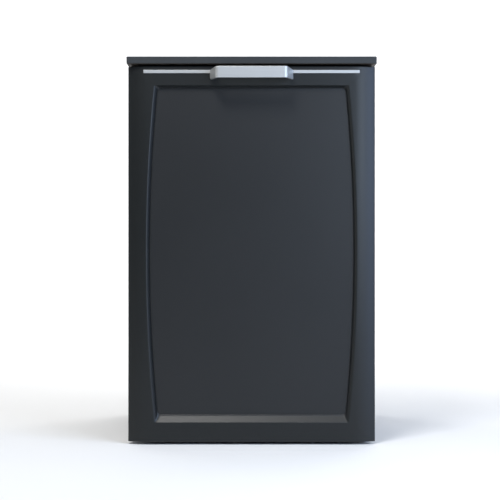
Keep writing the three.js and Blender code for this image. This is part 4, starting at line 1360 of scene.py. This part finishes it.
def grooved_rim(radius, low, high):
    """The outside of a pulley with one V groove, from low to high."""
    soft, depth, middle = 0.6 * MM, 7.5 * MM, (low + high) / 2
    below = [
        (radius - soft, low), (radius, low + soft), (radius, middle - 5.9 * MM),
        (radius - 0.4 * MM, middle - 5.4 * MM), (radius - depth, middle - 3.6 * MM),
    ]
    return below + [(r, low + high - z) for r, z in reversed(below)]


def driven_pulley():
    """A cast pulley: a hub, a web with six ribs, and a grooved rim."""
    low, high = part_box("driven_pulley")
    centre = node_centre("driven_pulley")
    outer = high.x - centre.x
    hub, rim, web, fillet, soft = 15 * MM, outer - 14 * MM, 4 * MM, 2 * MM, 0.6 * MM
    middle = (low.z + high.z) / 2
    below = [
        (BORE, low.z), (hub - soft, low.z), (hub, low.z + soft), (hub, middle - web / 2 - fillet),
        (hub + fillet, middle - web / 2), (rim - fillet, middle - web / 2),
        (rim, middle - web / 2 - fillet), (rim, low.z),
    ]
    above = [(r, low.z + high.z - z) for r, z in reversed(below)]
    profile = below + grooved_rim(outer, low.z, high.z) + above + below[:1]
    shell = Shell()
    shell.turned(profile, centre, Z, 64)
    rib_foot = middle + web / 2 - 0.5 * MM
    for way in round_about(Vector(), 1, 6, 0, 0):
        across = Z.cross(way)
        rings = []
        for reach, half, top in ((hub - MM, 2.2 * MM, 3.4 * MM), (rim + MM, 1.6 * MM, 2.4 * MM)):
            spot = centre + way * reach + Z * rib_foot
            section = ((-half, 0), (half, 0), (0.6 * half, top), (-0.6 * half, top))
            rings.append([spot + across * u + Z * v for u, v in section])
        shell.loft(rings)
    shell.piece("driven_pulley_casting", "jackshaft", "cast_aluminium", ["driven_pulley"])


def motor_pulley():
    """The small grooved pulley, on the motor's shaft."""
    low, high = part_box("motor_pulley")
    centre = node_centre("motor_pulley")
    shaft = 7 * MM
    rim_low, rim_high = low.z + 3 * MM, low.z + 17 * MM
    profile = [(0, low.z), (shaft - 0.8 * MM, low.z), (shaft, low.z + 0.8 * MM), (shaft, rim_low)]
    profile += grooved_rim(high.x - centre.x, rim_low, rim_high)
    profile += [(shaft, rim_high), (shaft, high.z), (0, high.z)]
    shell = Shell()
    shell.turned(profile, centre, Z, 48)
    shell.piece("motor_pulley_turned", "motor_pulley", "cast_aluminium", ["motor_pulley"])


def drive_belt():
    """A V-belt, wider outside than inside, with notches cut across its inner face."""
    low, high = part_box("drive_belt")
    wheels = [
        (node_centre("motor_pulley"), 13.4 * MM),
        (node_centre("driven_pulley"), 57.4 * MM),
    ]
    arcs, length = taut_loop(wheels)
    count = 4 * round(length / (5 * MM))
    middle = (low.z + high.z) / 2
    points = [loop_point(arcs, length, length * k / count) + Z * middle for k in range(count)]
    rings = []
    for k, point in enumerate(points):
        along = (points[(k + 1) % count] - points[k - 1]).normalized()
        out = along.cross(Z)
        inner = -2.3 if k % 4 < 2 else -1.3
        section = [(inner, -3.3), (2.2, -4.4), (2.5, -4.1), (2.5, 4.1), (2.2, 4.4), (inner, 3.3)]
        rings.append([point + out * u * MM + Z * v * MM for u, v in section])
    shell = Shell()
    shell.loft(rings, closed=True)
    shell.piece("drive_belt_notched", "cabinet", "black_rubber", ["drive_belt"], sharp=25)


def jackshaft():
    """The shaft between the belt and the chain, with a clip's groove near its top."""
    low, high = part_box("jackshaft")
    radius, soft = 8 * MM, 0.9 * MM
    shell = Shell()
    groove_low, groove_high = high.z - 5 * MM, high.z - 3.2 * MM
    shell.turned(
        [(0, low.z), (radius - soft, low.z), (radius, low.z + soft),
         (radius, groove_low), (radius - soft, groove_low + 0.4 * MM),
         (radius - soft, groove_high - 0.4 * MM), (radius, groove_high),
         (radius, high.z - soft), (radius - soft, high.z), (0, high.z)],
        node_centre("jackshaft"), Z, 40,
    )
    shell.piece("jackshaft_turned", "jackshaft", "machined_steel", ["jackshaft"])


def bearing_cup(node):
    """A flanged cup, open at the top, held down by three bolts."""
    low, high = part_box(node)
    centre = node_centre(node)
    flange, hub = high.x - centre.x, 20 * MM
    step = low.z + 5 * MM
    cup = low.z + 3.4 * MM
    shell = Shell()
    shell.turned(
        [(0, low.z), (flange - 0.5 * MM, low.z), (flange, low.z + 0.5 * MM), (flange, step - 1.2 * MM),
         (flange - 1.2 * MM, step), (hub + 2.4 * MM, step), (hub + 0.6 * MM, step + MM),
         (hub, step + 2.6 * MM), (hub, high.z - 1.2 * MM), (hub - 1.2 * MM, high.z),
         (13 * MM, high.z), (12.4 * MM, high.z - MM), (BORE, high.z - MM), (BORE, cup), (0, cup)],
        centre, Z, 48,
    )
    shell.piece(node + "_casting", "cabinet", "cast_iron", [node])
    places = round_about(centre, 25.5 * MM, 3, math.pi / 6, step)
    fasteners(node + "_bolts", "cabinet", "machined_steel", places, Z, 3.1 * MM)


def top_bearing(side):
    """A cup that holds a screw's head from above."""
    node = "upper_bearing_" + side
    low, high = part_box(node)
    centre = node_centre(node)
    outer, bore, cap = high.x - centre.x, 7.3 * MM, high.z - 2.5 * MM
    neck = outer - 3 * MM
    shell = Shell()
    shell.turned(
        [(0, high.z), (outer - 1.2 * MM, high.z), (outer, high.z - 1.2 * MM), (outer, low.z + 5 * MM),
         (neck, low.z + 3.6 * MM), (neck, low.z + 0.6 * MM), (neck - 0.6 * MM, low.z),
         (bore + 2.4 * MM, low.z), (bore + 2 * MM, low.z + 0.6 * MM), (bore, low.z + 0.6 * MM),
         (bore, cap), (0, cap)],
        centre, Z, 48,
    )
    shell.piece(node + "_casting", "cabinet", "cast_iron", [node])


def motor():
    """A ribbed body between two end bells, held by four through bolts."""
    low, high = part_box("motor_body")
    centre = node_centre("motor_body")
    outer = high.x - centre.x
    shell = Shell()
    shell.turned(
        [(0, low.z), (26 * MM, low.z), (30 * MM, low.z + 1.5 * MM), (outer - 10 * MM, low.z + 2 * MM),
         (outer - 3 * MM, low.z + 8 * MM), (outer - 2.5 * MM, low.z + 24 * MM), (0, low.z + 24 * MM)],
        centre, Z, 64,
    )
    shell.turned(
        [(0, high.z - 28 * MM), (outer - 2.5 * MM, high.z - 28 * MM), (outer - 3 * MM, high.z - 15 * MM),
         (outer - 9 * MM, high.z - 7 * MM), (30 * MM, high.z - 4 * MM), (26 * MM, high.z),
         (6 * MM, high.z), (0, high.z)],
        centre, Z, 64,
    )
    ribs, valley, crest = 44, 58 * MM, 62 * MM
    outline = []
    for rib in range(ribs):
        for share, radius in ((0.1, valley), (0.38, valley), (0.5, crest), (0.82, crest), (0.96, valley)):
            turn = 2 * math.pi * (rib + share) / ribs
            outline.append((centre.x + radius * math.cos(turn), centre.y + radius * math.sin(turn)))
    shell.prism(outline, low.z + 22 * MM, high.z - 26 * MM, in_xyz)
    shell.piece("motor_casing", "cabinet", "cast_iron", ["motor_body"])
    places = round_about(centre, 46 * MM, 4, math.pi / 4, high.z - 6.2 * MM)
    fasteners("motor_bolts", "cabinet", "machined_steel", places, Z, 5 * MM, hex_bolt)


# ---- Electrical pieces ----


def start_capacitor():
    """A can with a rolled rim at its lid, two pairs of tabs, and a clamping band."""
    low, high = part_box("start_capacitor")
    centre = node_centre("start_capacitor")
    radius = high.x - centre.x
    can = radius - 0.4 * MM
    lid = high.z - 9 * MM
    shell = Shell()
    shell.turned(
        [(0, low.z), (radius - 2.5 * MM, low.z), (radius - 0.8 * MM, low.z + MM), (can, low.z + 3 * MM),
         (can, lid - 2 * MM), (radius, lid - 1.6 * MM), (radius, lid), (radius - MM, lid + 0.6 * MM),
         (radius - 2.4 * MM, lid), (radius - 3 * MM, lid - 1.4 * MM), (0, lid - 1.4 * MM)],
        centre, Z, 48,
    )
    shell.piece("start_capacitor_can", "cabinet", "grey_plastic", ["start_capacitor"])
    tabs = Shell()
    for offset in (-9.2, -4.8, 4.8, 9.2):
        x = centre.x + offset * MM
        tab_low = (x - 0.4 * MM, centre.y - 3 * MM, lid - 2 * MM)
        tabs.cuboid(tab_low, (x + 0.4 * MM, centre.y + 3 * MM, high.z - 0.3 * MM), 0.15 * MM)
    inner, outer = radius - 0.5 * MM, radius + 0.9 * MM
    foot, head = low.z + 30 * MM, low.z + 42 * MM
    band = [(inner, foot), (outer, foot), (outer, head), (inner, head), (inner, foot)]
    tabs.turned(band, centre, Z, 48)
    tabs.piece("start_capacitor_tabs_and_band", "cabinet", "galvanised_steel")


def control_box():
    """A two-part box: a deep back, and a lid with a lip and four screws."""
    low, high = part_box("control_box")
    split = low.y + 11 * MM
    shell = Shell()
    back_low = (low.x + MM, split, low.z + MM)
    back_high = (high.x - MM, high.y, high.z - MM)
    shell.board(back_low, back_high, 4 * MM, 0.8 * MM, "XZ", corner_steps=5)
    lid_low, lid_high = (low.x, low.y + 1.6 * MM, low.z), (high.x, split, high.z)
    shell.board(lid_low, lid_high, 5 * MM, 1.6 * MM, "XZ", corner_steps=5, edge_steps=4)
    for k in range(6):
        z = low.z + (42 + 8 * k) * MM
        rib_low = (low.x + 30 * MM, low.y + 0.9 * MM, z)
        shell.cuboid(rib_low, (high.x - 30 * MM, low.y + 3 * MM, z + 3 * MM), 0.6 * MM)
    shell.piece("control_box_case", "cabinet", "grey_plastic", ["control_box"])
    inset = 8 * MM
    xs, zs = (low.x + inset, high.x - inset), (low.z + inset, high.z - inset)
    places = [(x, low.y + 1.7 * MM, z) for x in xs for z in zs]
    fasteners("control_box_screws", "cabinet", "machined_steel", places, -Y, 3 * MM)


def drawer_switch():
    """A case with a raised face and a rounded plunger, which the drawer front pushes."""
    low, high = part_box("drawer_switch")
    middle = (low + high) / 2
    inset = 3 * MM
    shell = Shell()
    shell.cuboid((low.x, low.y + 3 * MM, low.z), high, MM)
    face_high = (high.x - inset, low.y + 4 * MM, high.z - inset)
    shell.cuboid((low.x + inset, low.y + 1.6 * MM, low.z + inset), face_high, 0.6 * MM)
    plunger = in_mm((0, 0), (3, 0), (3, 1.2), (2, 1.8), (0, 1.9))
    shell.turned(plunger, Vector((middle.x, low.y + 1.9 * MM, middle.z)), -Y, 20)
    shell.piece("drawer_switch_case", "cabinet", "black_plastic", ["drawer_switch"])


def limit_switch():
    """A small case with a plunger under a bent blade."""
    low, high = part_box("limit_switch")
    case_low = high.y - 16 * MM
    blade_z = low.z + 4 * MM
    shell = Shell()
    shell.cuboid((low.x, case_low, low.z), high, MM)
    plunger_base = Vector(((low.x + high.x) / 2, case_low + 0.1 * MM, blade_z + 4.4 * MM))
    shell.turned(in_mm((0, 0), (1.6, 0), (1.6, 1.5), (0, 2)), plunger_base, -Y, 16)
    shell.piece("limit_switch_case", "cabinet", "black_plastic", ["limit_switch"])
    blade = Shell()
    path = [(high.y - 15 * MM, blade_z + 5 * MM), (case_low - 2 * MM, blade_z + 5 * MM),
            (case_low - 5 * MM, blade_z + 0.5 * MM), (low.y, blade_z + 0.5 * MM)]
    outline = folded(path, 0.8 * MM, 1.5 * MM)
    blade.prism(outline, low.x + 9 * MM, low.x + 19 * MM, in_yzx)
    blade.piece("limit_switch_blade", "cabinet", "galvanised_steel")


def frame_bolts():
    """Bolts for the motor's bracket and the ram's frame, and screws from the side panels to the pan."""
    centre = node_centre("motor_body")
    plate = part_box("motor_bracket")[1].z
    places = [(centre.x + x * 56 * MM, centre.y + y * 60 * MM, plate) for x in (-1, 1) for y in (-1, 1)]
    fasteners("motor_bracket_bolts", "cabinet", "machined_steel", places, Z, 6 * MM, hex_bolt)
    low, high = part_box("ram_frame")
    places = [(sign * (high.x - 14 * MM), low.y, low.z + (high.z - low.z) * 0.5) for _, sign in SIDES]
    fasteners("ram_frame_bolts", "cabinet", "machined_steel", places, -Y, 8 * MM, hex_bolt)
    low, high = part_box("base_pan")
    spots = [low.y + (high.y - low.y) * share for share in (0.05, 0.35, 0.65, 0.95)]
    for side, sign in SIDES:
        outer = max(abs(corner.x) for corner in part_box("side_panel_" + side))
        places = [(sign * outer, y, low.z + 12 * MM) for y in spots]
        name = "side_panel_%s_screws" % side
        fasteners(name, "cabinet", "machined_steel", places, X * sign, PANEL_SCREW)


# ---- Floor ----


def studio_floor():
    """A pale sweep: a floor that turns up into a wall far behind."""
    radius, far, wide, wall = 2.4, 6.0, 14.0, 9.0
    line = [(-14.0, 0.0), (far - radius, 0.0)]
    for k in range(1, 13):
        turn = math.pi / 2 * k / 12
        line.append((far - radius + radius * math.sin(turn), radius * (1 - math.cos(turn))))
    line.append((far, wall))
    shell = bmesh.new()
    rows = [[shell.verts.new((x, y, z)) for x in (-wide, wide)] for y, z in line]
    for near, away in zip(rows, rows[1:]):
        shell.faces.new((near[0], near[1], away[1], away[0]))
    data = bpy.data.meshes.new("studio_sweep")
    shell.to_mesh(data)
    shell.free()
    data.shade_smooth()
    data.materials.append(studio_paper())
    sweep = bpy.data.objects.new("studio_sweep", data)
    bpy.context.scene.collection.objects.link(sweep)


# ---- Everything in place ----

for part in frame["record"]["subparts"]:
    carried = frame["nodes"][part["node"]]
    carried.data.materials.clear()
    carried.data.materials.append(FINISHES[part["material_slot"]])

add_camera()
add_studio()
studio_floor()

worktop()
drawer_front()
trim_strip()
drawer_handle()
control_strip()
push_button("start_button", "start")
push_button("stop_button", "stop")
key_knob()
for side_name, side_sign in SIDES:
    side_panel(side_name, side_sign)
back_fasteners()
service_cover_louvres()
cord_gland()
for foot_place in ("front_left", "front_right", "rear_left", "rear_right"):
    levelling_foot(foot_place)

waste_bin()
drawer_carrier()
inner_pan_details()
ram_plate()
screw_phases = drive_chain()
for (side_name, side_sign), phase in zip(SIDES, screw_phases):
    for kind in ("rail", "middle", "inner"):
        slide_member("slide_%s_%s" % (kind, side_name), side_sign)
    slide_balls(side_name, side_sign)
    ram_column(side_name)
    ram_nut(side_name)
    power_screw(side_name)
    sprocket("screw_sprocket_" + side_name, SCREW_TEETH, phase)
    top_bearing(side_name)
    bearing_cup("lower_bearing_" + side_name)
    softened("slide_support_" + side_name)
bearing_cup("jackshaft_bearing")
sprocket("drive_sprocket", DRIVE_TEETH, screw_phases[2])
driven_pulley()
motor_pulley()
drive_belt()
jackshaft()
motor()
start_capacitor()
control_box()
drawer_switch()
limit_switch()
frame_bolts()
for node_name in (
    "back_panel", "rear_service_cover", "base_pan", "front_rail", "ram_frame", "ram_crossbeam",
    "motor_bracket", "front_inner_pan",
):
    softened(node_name)
